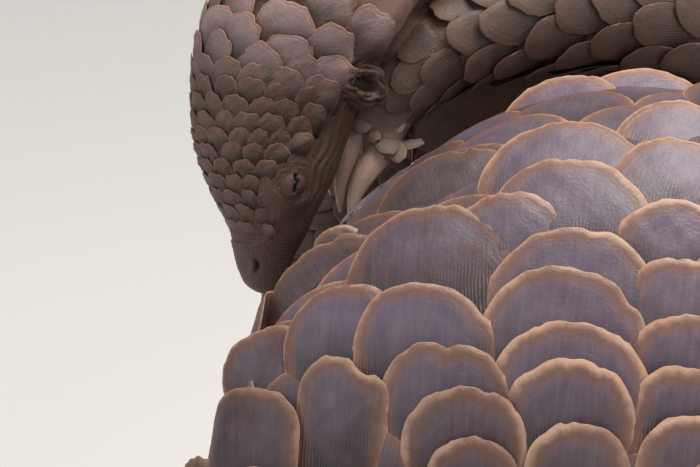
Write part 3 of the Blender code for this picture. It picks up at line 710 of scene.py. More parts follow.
def plateOutline(grid, width, length, reach, rootWide):
    # the plate laid flat: metres across and along, metres from the free edge, share of the length
    xi, tau = grid["xi"], grid["tau"]
    swell = np.sin(np.clip(tau * platePlan["widest"], 0, 1) * math.pi / 2)
    x = xi * width / 2 * (rootWide[0] + rootWide[1] * swell)
    y = length * tau * (1.0 - (1.0 - reach) * tau ** platePlan["corner"])
    rim = edgeDistance(x, y, np.stack((x, y), axis=1)[grid["free"]])
    return x, y, rim, np.clip(y / length, 0.0, 1.0)


def insideBox(points, give=0.002):
    # tips that would stand outside the outline's box are bent back into it
    low, high = np.array(cadLow), np.array(cadHigh)
    over = np.maximum(points - (high - give), 0.0)
    points = np.minimum(points, high - give) + give * (1.0 - np.exp(-over / give))
    under = np.maximum((low + give) - points, 0.0)
    under[:, 2] = 0.0
    points = points + under - give * (1.0 - np.exp(-under / give))
    points[:, 2] = np.maximum(points[:, 2], floorGap["scales"])
    return points


def plateSeat(sheet, plan, turnHome, a, b, middle):
    # lays a flat plate on the sheet: a flat piece at the fixed point, blended with the sheet's own form
    places, turns = sheet["places"], sheet["turns"]
    row = int(np.clip(np.searchsorted(places, plan["place"]), 0, len(places) - 1))
    column = int(np.clip(round((turnHome - turns[0]) / (turns[1] - turns[0])), 0, len(turns) - 1))
    arcs, runs = sheet["arc"][row], sheet["run"][:, column]
    girth = arcs[-1] - arcs[0]
    arcsThrice = np.hstack((arcs[:-1] - girth, arcs[:-1], arcs + girth))
    turnsThrice = np.hstack((turns[:-1] - 360.0, turns[:-1], turns + 360.0))
    turnHere = np.interp(np.interp(turnHome, turns, arcs) + a, arcsThrice, turnsThrice)
    runHere = np.interp(plan["place"], places, runs) + b
    placeHere = np.interp(runHere, runs, places)
    overrun = np.maximum(runHere - runs[-1], 0.0)
    spots, normals = sheetAt(sheet, placeHere, turnHere)
    home, homeNormal = spots[middle], normals[middle]
    if "faceTo" in plan:
        homeNormal = unitRows(homeNormal * (1 - plan["face"]) + plan["faceTo"] * plan["face"])
    placeHome, turnMiddle = placeHere[middle:middle + 1], turnHere[middle:middle + 1]
    nearA = unitRows(sheetAt(sheet, placeHome, turnMiddle + 2.0)[0][0] - home)
    nearA = unitRows(nearA - homeNormal * np.dot(nearA, homeNormal))
    nearB = np.cross(homeNormal, nearA)
    if np.dot(nearB, sheetAt(sheet, placeHome + 0.05, turnMiddle)[0][0] - home) < 0:
        nearB = -nearB
    flat = home + (a - a[middle])[:, None] * nearA + (b - b[middle])[:, None] * nearB
    conform = plan["conform"]
    base = flat * (1 - conform) + spots * conform + overrun[:, None] * nearB * conform
    normal = unitRows(homeNormal * (1 - conform) + normals * conform)
    return base, normal, placeHere, turnHere


scaleValues = ("rim", "along", "tint", "brown", "wear")


def newStore():
    return {key: [] for key in ("points", "grids", "flat", "home", *scaleValues)}


def keepPlate(store, grid, points, values, flatUv, home):
    store["points"].append(insideBox(points))
    store["grids"].append(grid)
    for key, value in zip(scaleValues, values):
        value = value + np.zeros(len(grid["xi"]))
        store[key].append(np.hstack((value, value)))
    store["flat"].append(np.vstack((flatUv, flatUv + 0.5)))
    store["home"].append(home)


def layScale(store, sheet, depthAt, plan, rng):
    grid, form = grids[plan["grid"]], platePlan
    xi, width, thick = grid["xi"], plan["width"], plan["thick"]
    reach = tipShape(xi, plan, rng)
    x, y, rim, part = plateOutline(grid, width, plan["length"], reach, form["rootWide"])
    # the apex is the fixed point, and the scale leans about it
    lean = math.radians(plan["tilt"])
    down = y - plan["length"]
    a = x * math.cos(lean) + down * math.sin(lean)
    b = -x * math.sin(lean) + down * math.cos(lean)
    turnHome = (plan["turn"] + 180.0) % 360.0 - 180.0
    base, normal, placeHere, turnHere = plateSeat(sheet, plan, turnHome, a, b, plan.get("hinge", len(xi) // 2))
    # the tip stands out, the sides are bent down, one side may stand higher, and the surface is lumpy
    height = -form["sunk"] + (plan["lift"] + form["sunk"]) * part ** form["rise"]
    dome = plan["dome"] * xi ** 2 * (form["domeShare"][0] + form["domeShare"][1] * part)
    height = height - dome + plan["rock"] * xi * part
    waves = rng.uniform(0.0, fullTurn, 4)
    pitch = 2 * math.pi / (width * form["lumpPitch"])
    bumps = (np.sin(x * pitch + waves[0] + np.sin(y * pitch * 0.7 + waves[1])) * np.sin(y * pitch * 0.9 + waves[2])
             + 0.5 * np.sin(x * pitch * 2.3 + waves[3]) * np.sin(y * pitch * 2.1 + waves[0]))
    height = height + plan.get("lumpy", 0.0) * bumps * smoothStep(0.0, width * form["lumpStart"], rim)
    # the plate thins towards its edge and its root
    topDrop = thick * form["edgeDrop"] * (1 - smoothStep(0.0, thick * 1.3, rim))
    edge = form["edgeThick"][0] + form["edgeThick"][1] * smoothStep(0.0, thick * 2.6, rim)
    lowDrop = thick * edge * (form["rootThick"][0] + form["rootThick"][1] * part)
    depth = depthAt(placeHere, turnHere)
    points = np.vstack([base + normal * (height - drop - depth)[:, None] for drop in (topDrop, lowDrop)])
    values = (rim, part, plan["tint"], plan.get("brown", 0.0), plan.get("wear", 0.3))
    flatUv = np.stack((x, y), axis=1) + rng.uniform(0.0, 1.0, 2)
    keepPlate(store, grid, points, values, flatUv, (plan["place"], turnHome))


def apexOf(gridName):
    grid = grids[gridName]
    return int(np.argmin(np.abs(grid["xi"]) + np.abs(grid["tau"] - 1.0)))


def finishScales(name, store, material):
    # the bake map gives each scale a patch at its own place in the rows, from head to tail and from side to side
    count = len(store["points"])
    across = max(int(math.ceil(math.sqrt(count))), 1)
    order = sorted(range(count), key=lambda k: store["home"][k][0])
    cells = {}
    for row in range(0, count, across):
        part = sorted(order[row:row + across], key=lambda k: store["home"][k][1])
        for column, k in enumerate(part):
            cells[k] = (column, row // across)
    faces, corners, flats = [], [], []
    offset = 0
    for k, grid in enumerate(store["grids"]):
        faces.append(grid["quads"] + offset)
        offset += 2 * grid["count"]
        corners.append((grid["cornerUv"] * patchPlan["fill"] + patchPlan["bare"] + np.array(cells[k])) / across)
        flats.append(store["flat"][k][grid["quads"].ravel()])
    faces = np.vstack(faces)
    mesh = newPiece(name, np.vstack(store["points"]), faces, material).data
    for mapName, rows in (("OFBake", corners), ("ScaleUV", flats)):
        mesh.uv_layers.new(name=mapName).data.foreach_set("uv", np.vstack(rows).astype(np.float32).ravel())
    for key in scaleValues:
        setValues(mesh, key, np.hstack(store[key]))
    print(name, count, "scales,", 2 * len(faces), "triangles")


# The camera, and where a point falls in its picture
def cameraAxes():
    lean = math.radians(cameraPlan["elevation"])
    ahead = np.array((0.0, math.cos(lean), -math.sin(lean)))
    up = np.array((0.0, math.sin(lean), math.cos(lean)))
    spot = np.array(cameraPlan["target"]) - ahead * cameraPlan["distance"]
    return spot, ahead, up


def toPicture(points):
    spot, ahead, up = cameraAxes()
    away = points - spot
    depth = away @ ahead
    size = cameraPlan["pixelsPerMetre"] * cameraPlan["distance"] / depth
    return cameraPlan["frameWide"] / 2 + away[..., 0] * size, cameraPlan["frameHigh"] / 2 - (away @ up) * size


def facesCamera(points, normals):
    spot = cameraAxes()[0]
    return np.sum(unitRows(spot - points) * normals, axis=-1)


# Large scales of the rump and the tail's root: picture place of the tip, width in metres, lean in degrees
largeScales = {
    "b4": (585, 422, 0.0340, 0), "b3": (572, 358, 0.0430, 0), "b2": (580, 323, 0.0520, 0),
    "b1": (573, 269, 0.0540, 0), "d1": (572, 227, 0.0560, -3), "e1": (580, 160, 0.0530, 0),
    "e2": (505, 192, 0.0400, -8), "f1": (562, 122, 0.0540, -3), "g1": (557, 78, 0.0450, -3),
    "g2": (650, 70, 0.0500, 4), "a7": (468, 438, 0.0300, -5), "a6": (468, 387, 0.0400, -4),
    "a5": (448, 343, 0.0440, -5), "a2": (430, 284, 0.0470, -8), "a1": (437, 205, 0.0560, -8),
    "i1": (432, 157, 0.0520, -22), "a4": (345, 356, 0.0310, -3), "a3": (349, 287, 0.0400, -10),
    "h1": (303, 255, 0.0560, -35), "h0": (322, 233, 0.0210, -40), "j1": (250, 336, 0.0350, -34),
    "k1": (250, 388, 0.0390, -6), "l4": (195, 455, 0.0300, -20), "c3": (697, 418, 0.0380, 5),
    "c2": (692, 368, 0.0350, 5), "c1": (690, 315, 0.0380, 5), "c0": (695, 260, 0.0430, 5),
    "r3": (685, 202, 0.0400, 6), "r2": (690, 141, 0.0440, 8), "r1": (690, 105, 0.0440, 8),
}
# Where one of them differs from largePlan. A notch is its place across, its depth and its width, in shares
largeChanges = {
    "a1": {"apexShift": -0.14, "power": 2.2, "tint": 0.30},
    "a2": {"notches": ((0.74, 0.04, 0.12),), "apexShift": -0.24, "power": 2.6, "rock": -0.0010, "lift": 0.0082,
           "tint": 0.65},
    "a3": {"apexShift": 0.04, "rock": -0.0012, "tint": 0.60, "wear": 0.20},
    "a4": {"notches": ((0.42, 0.08, 0.22),), "apexShift": -0.22, "lengthShare": 1.5, "shoulder": 0.74},
    "a5": {"notches": ((0.02, 0.035, 0.09),), "apexShift": -0.12, "power": 2.8},
    "a6": {"apexShift": 0.05, "power": 2.8},
    "b1": {"notches": ((0.72, 0.04, 0.10),), "apexShift": -0.08},
    "b3": {"apexShift": 0.05},
    "c1": {"apexShift": 0.12},
    "d1": {"power": 2.2},
    "e1": {"apexShift": -0.10},
    "h0": {"tint": -0.10, "wear": 0.30},
    "h1": {"tint": -0.20},
    "i1": {"tint": -0.50, "wear": 0.10},
    "j1": {"power": 3.0, "shoulder": 0.66},
    "k1": {"power": 3.0, "shoulder": 0.74, "lengthShare": 1.45, "tint": -0.15, "wave": 0.006,
           "notches": ((0.75, 0.012, 0.10),)},
    "l4": {"power": 3.0, "shoulder": 0.75, "lengthShare": 1.3},
    "r3": {"apexShift": 0.15},
}
largePlan = {"lengthShare": 1.0, "shoulder": 0.54, "power": 2.45, "wave": 0.014, "conform": 0.62, "grid": "fine",
             "dome": 0.0026, "thick": 0.0014, "lift": 0.0074, "lumpy": 0.00022}
# How tone and wear change over the picture, and how far scales at the sides are turned to the front. These
# stand out a little. The tone across and down is partly painted light: scales to the right and near the top,
# which face the light, are painted lighter and the lowest ones darker. A fade is of how squarely the surface faces
# the camera
largeSpread = {
    "tintAndLightAcross": ((250, 440, 600, 690), (0.25, 0.50, 0.80, 1.15)),
    "tintAndLightDown": ((100, 200, 340, 400), (0.30, 0.0, 0.0, -0.15)),
    "wearAcross": ((250, 430, 560), (-0.25, 0.0, 0.30)),
    "wearDown": ((160, 300, 400), (0.20, 0.45, 0.90)),
    "tint": 0.10, "rock": 0.0004, "notches": 4, "notchForm": ((-0.9, 0.9), (0.006, 0.022), (0.03, 0.09)),
    "places": (16.0, 30.0), "leastFacing": 0.04, "mostTurn": 104.0, "leastFace": 0.02,
    "leftTurn": -60.0, "leftFace": 0.58, "leftFade": (0.35, 0.85), "face": 0.50, "fade": (0.25, 0.70),
}


def findSpot(pixelX, pixelY):
    low, high = largeSpread["places"]
    rows = (bodyPlaces >= low) & (bodyPlaces <= high)
    points, normals = (bodySheet[key][rows] for key in ("points", "normals"))
    seen = facesCamera(points, normals) > largeSpread["leastFacing"]
    seen = seen & (np.abs(turnSamples) < largeSpread["mostTurn"])
    x, y = toPicture(points)
    miss = np.where(seen, (x - pixelX) ** 2 + (y - pixelY) ** 2, 1e12)
    row, column = np.unravel_index(np.argmin(miss), miss.shape)
    return bodyPlaces[rows][row], turnSamples[column]


def facingAt(place, turn):
    point, normal = sheetAt(bodySheet, np.array((place,)), np.array((turn,)))
    return point[0], facesCamera(point, normal)[0]


def picked(key, value):
    return float(np.interp(value, *largeSpread[key]))


def jitter(rng, reach):
    return rng.uniform(-reach, reach)


rng = np.random.default_rng(41)
largeStore = newStore()
for label, (pixelX, pixelY, width, tilt) in largeScales.items():
    place, turn = findSpot(pixelX, pixelY)
    tint = picked("tintAndLightAcross", pixelX) + picked("tintAndLightDown", pixelY) + jitter(rng, largeSpread["tint"])
    plan = dict(largePlan, place=place, turn=turn, width=width, tilt=tilt, tint=tint,
                rock=jitter(rng, largeSpread["rock"]),
                wear=picked("wearDown", pixelY) + picked("wearAcross", pixelX))
    plan["notches"] = [[rng.uniform(*limits) for limits in largeSpread["notchForm"]]
                       for _ in range(largeSpread["notches"])]
    plan.update(largeChanges.get(label, {}))
    plan["length"] = width * plan["lengthShare"]
    point, facing = facingAt(place, turn)
    face, fade = ("leftFace", "leftFade") if turn < largeSpread["leftTurn"] else ("face", "fade")
    face = largeSpread[face] * float(1.0 - smoothStep(*largeSpread[fade], facing))
    if face > largeSpread["leastFace"]:
        plan.update(face=face, faceTo=unitRows(cameraAxes()[0] - point), hinge=apexOf(plan["grid"]),
                    conform=plan["conform"] * (1 - face))
    layScale(largeStore, bodySheet, coatDepth, plan, rng)
finishScales("largeScales", largeStore, materials["bigScale"])


# Rows of scales over a sheet: sizes follow the place, every second row is shifted by half a scale
rowJitter = 0.06


def scaleRows(sheet, start, end, sizeAt, reachAt, rng):
    places, turns = sheet["places"], sheet["turns"]
    backRun = sheet["run"][:, len(turns) // 2]
    run, runEnd = (np.interp(place, places, backRun) for place in (start, end))
    number = 0
    spots = []
    while run < runEnd:
        place = np.interp(run, backRun, places)
        width, step = sizeAt(place)
        reach = reachAt(place)
        shift = 0.5 * (number % 2)
        arcs = sheet["arc"][int(np.clip(np.searchsorted(places, place), 0, len(places) - 1))]
        if reach >= 180.0:
            girth = arcs[-1] - arcs[0]
            count = max(int(round(girth / width)), 4)
            offsets = ((np.arange(count) + shift) * girth / count + girth / 2) % girth - girth / 2
        else:
            arcReach = np.interp(reach, turns, arcs)
            count = max(int(round(arcReach / width)), 1)
            offsets = (np.arange(-count, count + 1) + shift) * arcReach / count
            offsets = offsets[np.abs(offsets) <= arcReach * 1.01]
        for offset in offsets:
            move = rng.uniform(-rowJitter, rowJitter, 2) * (width, step)
            turn = np.interp(offset + move[0], arcs, turns)
            spots.append((np.interp(run + move[1], backRun, places), turn, width, step))
        run += step
        number += 1
    return spots


def sizeFrom(sizes):
    # the scales' width and the rows' distance at a place
    return lambda place: tuple(float(np.interp(place, sizes["places"], sizes[key])) for key in ("widths", "rows"))


bodySizes = {
    "places": (9.0, 10.5, 12.5, 14.0, 17.0, 20.0, 23.0, 26.0, 30.0, 33.0, 36.0),
    "widths": (0.0180, 0.0200, 0.0235, 0.0285, 0.0340, 0.0385, 0.0410, 0.0370, 0.0290, 0.0200, 0.0110),
    "rows": (0.0090, 0.0100, 0.0115, 0.0135, 0.0155, 0.0165, 0.0185, 0.0175, 0.0145, 0.0105, 0.0065),
}
# A pair is a range that each scale draws from or a fade over places, and a share is of the scale's width or
# of its row's distance. The thickness is a least one, a share of the width, and a greatest one
bodyPlan = {
    "start": 9.3, "end": 35.9, "neckEnd": 12.3, "widthShare": 1.16, "frontShare": 1.20, "frontEnd": 12.0,
    "lengthShare": 2.55, "tilt": 2.5, "shoulder": (0.46, 0.58), "power": (2.0, 2.5), "wave": 0.010,
    "conform": 0.72, "dome": 0.05, "thick": (0.00055, 0.018, 0.0013), "rock": 0.012, "tint": (0.0, 0.7),
    "neckTint": 1.6, "brown": 0.9, "brownFade": (11.5, 16.5),
    "pieces": (("trunkScales", 18.0), ("loinScales", 21.5), ("rumpScales", 25.2), ("tailScales", 99.0)),
}
neckChanges = {"wave": 0.035, "lumpy": 0.00025, "grid": "head"}
# Under the large scales the rows lie flat and low: picture limits, least facing, and how high they lift
underPlan = {"start": 15.0, "pixelX": (150, 740), "pixelY": (40, 462), "facing": -0.75, "lift": 0.30,
             "edgeStart": 24.5, "edgeTurn": 95.0, "edgeShare": 0.62}
underChanges = {"conform": 1.0, "dome": 0.0, "rock": 0.0, "wave": 0.004}
# At the tail root's edge beside the throat the large scales cover these
leftOut = {"place": (24.5, 26.0), "turn": (-126.0, -98.0)}


def between(limits, value):
    return limits[0] < value < limits[1]


rng = np.random.default_rng(7)
bodyStores = {name: newStore() for name, _ in bodyPlan["pieces"]}
neckStore = newStore()
spots = scaleRows(bodySheet, bodyPlan["start"], bodyPlan["end"], sizeFrom(bodySizes), coatReach, rng)
for place, turn, width, step in spots:
    if between(leftOut["place"], place) and between(leftOut["turn"], turn):
        continue
    point, facing = facingAt(place, turn)
    pixelX, pixelY = toPicture(point)
    underLarge = (place > underPlan["start"] and facing > underPlan["facing"]
                  and between(underPlan["pixelX"], pixelX) and between(underPlan["pixelY"], pixelY))
    share = bodyPlan["widthShare"] if place > bodyPlan["frontEnd"] else bodyPlan["frontShare"]
    thin, thickShare, thickest = bodyPlan["thick"]
    plan = {"place": place, "turn": turn, "width": width * share, "length": step * bodyPlan["lengthShare"],
            "tilt": rng.normal(0, bodyPlan["tilt"]), "shoulder": rng.uniform(*bodyPlan["shoulder"]),
            "power": rng.uniform(*bodyPlan["power"]), "wave": bodyPlan["wave"], "conform": bodyPlan["conform"],
            "dome": bodyPlan["dome"] * width, "thick": min(thickest, thin + width * thickShare),
            "lift": fullDepth(place) * (underPlan["lift"] if underLarge else 1.0),
            "rock": rng.normal(0, bodyPlan["rock"]) * width, "tint": rng.uniform(*bodyPlan["tint"]),
            "grid": "middle",
            "brown": bodyPlan["brown"] * (1.0 - float(smoothStep(*bodyPlan["brownFade"], place)))}
    if place < bodyPlan["neckEnd"]:
        plan["tint"] += bodyPlan["neckTint"]
        layScale(neckStore, bodySheet, coatDepth, dict(plan, **neckChanges), rng)
        continue
    if underLarge:
        plan.update(underChanges)
        if place > underPlan["edgeStart"] and abs(turn) > underPlan["edgeTurn"]:
            plan["length"] *= underPlan["edgeShare"]      # only their roots would show there
    name = next(name for name, end in bodyPlan["pieces"] if place < end)
    layScale(bodyStores[name], bodySheet, coatDepth, plan, rng)
for name, store in bodyStores.items():
    finishScales(name, store, materials["bigScale"])
finishScales("neckScales", neckStore, materials["neckScale"])

headSizes = {
    "places": (2.2, 3.2, 4.0, 5.0, 6.0, 7.2, 7.7, 8.6, 9.4),
    "widths": (0.0082, 0.0082, 0.0076, 0.0076, 0.0082, 0.0092, 0.0150, 0.0190, 0.0195),
    "rows": (0.0062, 0.0062, 0.0056, 0.0054, 0.0058, 0.0066, 0.0096, 0.0110, 0.0110),
}
# As above, but length, thick, lift and lumpy are a value at the snout and what it gains over the faceFade
headScalePlan = {
    "start": 3.05, "end": 9.25, "faceFade": (3.0, 4.6), "width": (1.04, 1.36), "length": (1.55, 0.42),
    "tilt": 9.0, "shoulder": (0.32, 0.58), "power": (2.2, 3.2), "wave": 0.044, "conform": 0.95, "dome": 0.060,
    "thick": (0.0005, 0.0006), "lift": (0.45, 0.38), "liftShare": (0.85, 1.12), "rock": 0.035,
    "apexShift": 0.14, "lumpy": (0.00006, 0.00026), "tint": (-0.6, 1.3), "crownTint": 3.4,
    "tintFade": (7.0, 8.3), "wearFade": (7.1, 8.2),
}
rng = np.random.default_rng(19)
headStore = newStore()
look = headScalePlan
spots = scaleRows(bodySheet, look["start"], look["end"], sizeFrom(headSizes), coatReach, rng)
for place, turn, width, step in spots:
    face = float(smoothStep(*look["faceFade"], place))
    crown = look["crownTint"] * float(smoothStep(*look["tintFade"], place))
    length, thick, lift, lumpy = (look[key][0] + look[key][1] * face for key in ("length", "thick", "lift", "lumpy"))
    plan = {"place": place, "turn": turn, "width": width * rng.uniform(*look["width"]), "length": step * length,
            "tilt": rng.normal(0, look["tilt"]), "shoulder": rng.uniform(*look["shoulder"]),
            "power": rng.uniform(*look["power"]), "wave": look["wave"], "conform": look["conform"],
            "dome": look["dome"] * width, "thick": thick,
            "lift": fullDepth(place) * lift * rng.uniform(*look["liftShare"]),
            "rock": rng.normal(0, look["rock"]) * width, "apexShift": rng.normal(0, look["apexShift"]),
            "lumpy": lumpy, "tint": rng.uniform(*look["tint"]) + crown,
            "wear": float(smoothStep(*look["wearFade"], place)), "grid": "head"}
    layScale(headStore, bodySheet, coatDepth, plan, rng)
finishScales("headScales", headStore, materials["headScale"])


def closedShell(points):
    # a closed skin through rings of equal count, with a point at each end
    rings, sides = points.shape[:2]
    faces = []
    for r in range(rings - 1):
        for c in range(sides):
            after = (c + 1) % sides
            faces.append((r * sides + c, r * sides + after, (r + 1) * sides + after, (r + 1) * sides + c))
    flat = points.reshape(-1, 3)
    first, last = len(flat), len(flat) + 1
    flat = np.vstack((flat, points[0].mean(axis=0), points[-1].mean(axis=0)))
    for c in range(sides):
        after = (c + 1) % sides
        faces.append((first, after, c))
        faces.append((last, (rings - 1) * sides + c, (rings - 1) * sides + after))
    return flat, faces


treePoints, treeFaces = closedShell(bodySheet["points"][::12, :-1:4])
bodyTree = BVHTree.FromPolygons([tuple(point) for point in treePoints], treeFaces)
rayWay = Vector((0.31, 0.17, 0.93))


def insideBody(point):
    # a ray from inside leaves the body an odd number of times
    hits, start = 0, Vector(point)
    for _ in range(12):
        spot = bodyTree.ray_cast(start, rayWay)[0]
        if spot is None:
            break
        hits += 1
        start = spot + rayWay * 1e-5
    return hits % 2 == 1


limbSizes = {"foreLeft": (0.0175, 0.0105), "foreRight": (0.0160, 0.0090), "hindLeft": (0.0190, 0.0098),
             "hindRight": (0.0190, 0.0098)}
limbPlan = {
    "start": 0.25, "end": 0.15, "footStart": 0.75, "shrink": 0.42, "shrinkStart": 3.0, "widthShare": 1.16,
    "length": {"leg": 2.3, "foot": 3.0}, "wear": {"leg": 0.1, "foot": 0.0}, "tilt": 4.0, "shoulder": (0.44, 0.56),
    "power": (1.9, 2.6), "wave": 0.034, "conform": 0.80, "dome": 0.04, "thick": 0.0008, "lumpy": 0.00022,
    "apexShift": 0.12, "rock": 0.02, "tint": (0.0, 1.0),
}
# Two scales of the right foreleg show edge-on beside the nose, so they lie flatter
besideNose = {"limb": "foreRight", "place": (2.0, 2.4), "turn": (-70.0, -40.0), "lift": 0.40}
rng = np.random.default_rng(23)
limbStores = {"leg": newStore(), "foot": newStore()}
look = limbPlan
for limbName, sheet in limbSheets.items():
    limbEnd = sheet["places"][-1]
    depthAt = limbDepth(sheet)

    def limbSize(place):
        shrink = 1.0 - look["shrink"] * float(smoothStep(limbEnd - look["shrinkStart"], limbEnd, place))
        return tuple(size * shrink for size in limbSizes[limbName])

    spots = scaleRows(sheet, look["start"], limbEnd - look["end"], limbSize, lambda place: 180.0, rng)
    for place, turn, width, step in spots:
        point, normal = sheetAt(sheet, np.array((place,)), np.array((turn,)))
        if insideBody(point[0] - normal[0] * 0.001):
            continue
        kind = "foot" if place > limbEnd - look["footStart"] else "leg"
        depth = float(depthAt(place, 0.0))
        plan = {"place": place, "turn": turn, "width": width * look["widthShare"],
                "length": step * look["length"][kind], "tilt": rng.normal(0, look["tilt"]),
                "shoulder": rng.uniform(*look["shoulder"]),
                "power": rng.uniform(*look["power"]), "wave": look["wave"], "conform": look["conform"],
                "dome": look["dome"] * width, "thick": look["thick"], "lumpy": look["lumpy"],
                "apexShift": rng.normal(0, look["apexShift"]), "lift": depth,
                "rock": rng.normal(0, look["rock"]) * width,
                "tint": rng.uniform(*look["tint"]), "wear": look["wear"][kind], "grid": "small"}
        if (limbName == besideNose["limb"] and between(besideNose["place"], place)
                and between(besideNose["turn"], turn)):
            plan.update(conform=1.0, rock=0.0, lift=besideNose["lift"] * depth)
        layScale(limbStores[kind], sheet, depthAt, plan, rng)

# Pale flakes of scale over the roots of the left foreclaws: the claw, metres right of its root, above it
# and before it, width, length, lean in degrees, how wavy its outline is
flakeScales = (
    ("middle", -0.0004, 0.0016, 0.0054, 0.0076, 0.0094, 16.0, 0.012),
    ("fourth", -0.0032, 0.0050, 0.0056, 0.0050, 0.0042, 22.0, 0.100),
    ("fourth", 0.0014, 0.0018, 0.0060, 0.0084, 0.0062, -10.0, 0.080),
    ("fourth", 0.0048, -0.0004, 0.0052, 0.0066, 0.0074, 28.0, 0.090),
    ("fourth", 0.0090, 0.0022, 0.0040, 0.0100, 0.0036, 12.0, 0.110),
)
flakePlan = {"grid": "small", "shoulder": 0.50, "power": 2.4, "rootWide": (0.80, 0.20), "hang": 0.30,
             "curl": 0.0007, "curlEnd": 0.55, "dome": 0.0009, "lump": 0.00022, "lumps": (1900.0, 1500.0),
             "thick": 0.0005, "along": (0.45, 0.55), "tint": (0.4, 0.9), "wear": (0.7, 1.0), "place": 50.0}


def layFlake(store, clawName, right, above, before, width, length, lean, wave, rng):
    # a small curled plate that faces the camera's side, its tip hanging down over the claw
    look, grid = flakePlan, grids[flakePlan["grid"]]
    xi = grid["xi"]
    _, ahead, up = cameraAxes()
    root = ringCentre + next(np.array(row[1]) for row in clawRows["left"] if row[0] == clawName)
    home = root + np.array((right, 0.0, 0.0)) + up * above - ahead * before
    turn = math.radians(lean)
    side = np.array((math.cos(turn), 0.0, math.sin(turn)))
    down = -unitRows(up - side * float(up @ side)) * math.cos(look["hang"]) - ahead * math.sin(look["hang"])
    out = unitRows(np.cross(side, down))
    out = out if float(out @ ahead) < 0 else -out
    reach = tipShape(xi, {"shoulder": look["shoulder"], "power": look["power"], "wave": wave}, rng)
    x, y, rim, part = plateOutline(grid, width, length, reach, look["rootWide"])
    height = look["curl"] * np.sin(part * math.pi * look["curlEnd"]) - look["dome"] * xi ** 2
    lumps = [np.sin(values * count + rng.uniform(0, fullTurn)) for values, count in zip((x, y), look["lumps"])]
    height = height + look["lump"] * lumps[0] * lumps[1]
    top = home + x[:, None] * side + (y - length / 2)[:, None] * down + height[:, None] * out
    points = np.vstack((top, top - out * look["thick"]))
    along = look["along"][0] + look["along"][1] * part
    values = (rim, along, rng.uniform(*look["tint"]), 0.0, rng.uniform(*look["wear"]))
    flatUv = np.stack((x, y), axis=1) + rng.uniform(0.0, 1.0, 2)
    keepPlate(store, grid, points, values, flatUv, (look["place"], right))


rng = np.random.default_rng(5)
for flake in flakeScales:
    layFlake(limbStores["foot"], *flake, rng)
for name, store in limbStores.items():
    finishScales(name + "Scales", store, materials[name + "Scale"])

# The skin: trunk, tail and limbs are joined into one surface, then the finely made head joins it
skinPlan = {"voxel": 0.0030, "smoothSteps": 4, "smoothFactor": 0.5, "headEnd": 9.7, "bodyStart": 8.6,
            "bodyRings": 320, "limbRings": 60, "sides": 72, "footShare": 0.8, "footLess": 0.0008,
            "footRings": 6, "footTurn": 80.0}
# flesh of a finger round the root of each claw of the forefeet, and how far from the root it shows
fingerPlan = {"behind": 0.010, "ahead": 0.0060, "wide": 1.36, "web": 0.0046, "round": 0.6, "rings": 7,
              "sides": 16, "shows": (0.007, 0.014)}


def skinShell(sheet, depthAt, places, turns):
    placeGrid, turnGrid = np.meshgrid(places, turns, indexing="ij")
    points, normals = sheetAt(sheet, placeGrid, turnGrid)
    return points - normals * depthAt(placeGrid, turnGrid)[..., None]


def addShell(shape, points):
    flat, faces = closedShell(points)
    verts = [shape.verts.new(p) for p in flat]
    for face in faces:
        shape.faces.new([verts[k] for k in face])


def roundedFoot(points, depth):
    centre = points[-1].mean(axis=0)
    along = unitRows(centre - points[-2].mean(axis=0))
    rings = list(points)
    for number in range(1, skinPlan["footRings"] + 1):
        turn = math.radians(skinPlan["footTurn"] * number / skinPlan["footRings"])
        rings.append(centre + (points[-1] - centre) * math.cos(turn) + along * depth * math.sin(turn))
    return np.array(rings)


def fingerShell(root, tip, radius):
    along = unitRows(tip - root)
    side = unitRows(np.cross(along, slantedAxis))
    other = np.cross(along, side)
    parts = np.linspace(0.0, math.pi, fingerPlan["rings"] + 2)[1:-1]
    around = np.linspace(0.0, 2 * math.pi, fingerPlan["sides"] + 1)[:-1]
    middle = root + along * (fingerPlan["ahead"] - fingerPlan["behind"]) / 2
    reach = (fingerPlan["ahead"] + fingerPlan["behind"]) / 2
    ring = side * np.cos(around)[:, None] + other * np.sin(around)[:, None]
    return np.array([middle - along * reach * math.cos(t) + ring * radius * math.sin(t) ** fingerPlan["round"]
                     for t in parts])


turnsRound = np.linspace(-180.0, 180.0, skinPlan["sides"] + 1)[:-1]
bodyRings = np.linspace(skinPlan["bodyStart"], lastPlace, skinPlan["bodyRings"])
shape = bmesh.new()
addShell(shape, skinShell(bodySheet, coatDepth, bodyRings, turnsRound))
for limbName, sheet in limbSheets.items():
    limbRings = np.linspace(0.0, sheet["places"][-1], skinPlan["limbRings"])
    shell = skinShell(sheet, limbDepth(sheet), limbRings, turnsRound[::2])
    footRadius = limbRows[limbName][-1][3]
    addShell(shape, roundedFoot(shell, footRadius * skinPlan["footShare"] - skinPlan["footLess"]))
for rows in clawRows.values():
    for label, root, tip, radius in rows:
        addShell(shape, fingerShell(ringCentre + root, ringCentre + tip, radius * fingerPlan["wide"]))
    for here, after in zip(rows[1:-2], rows[2:-1]):
        # a web of skin joins the three long fingers
        root, tip = (np.array(here[key]) / 2 + np.array(after[key]) / 2 for key in (1, 2))
        addShell(shape, fingerShell(ringCentre + root, ringCentre + tip, fingerPlan["web"]))
bmesh.ops.recalc_face_normals(shape, faces=shape.faces)
bodyMesh = bpy.data.meshes.new("skinRough")
shape.to_mesh(bodyMesh)
shape.free()
roughSkin = bpy.data.objects.new("skinRough", bodyMesh)
bpy.context.scene.collection.objects.link(roughSkin)
remesh = roughSkin.modifiers.new("remesh", "REMESH")
remesh.mode = "VOXEL"
remesh.voxel_size = skinPlan["voxel"]
smooth = roughSkin.modifiers.new("smooth", "SMOOTH")
smooth.iterations = skinPlan["smoothSteps"]
smooth.factor = skinPlan["smoothFactor"]
graph = bpy.context.evaluated_depsgraph_get()
finished = bpy.data.meshes.new_from_object(roughSkin.evaluated_get(graph))
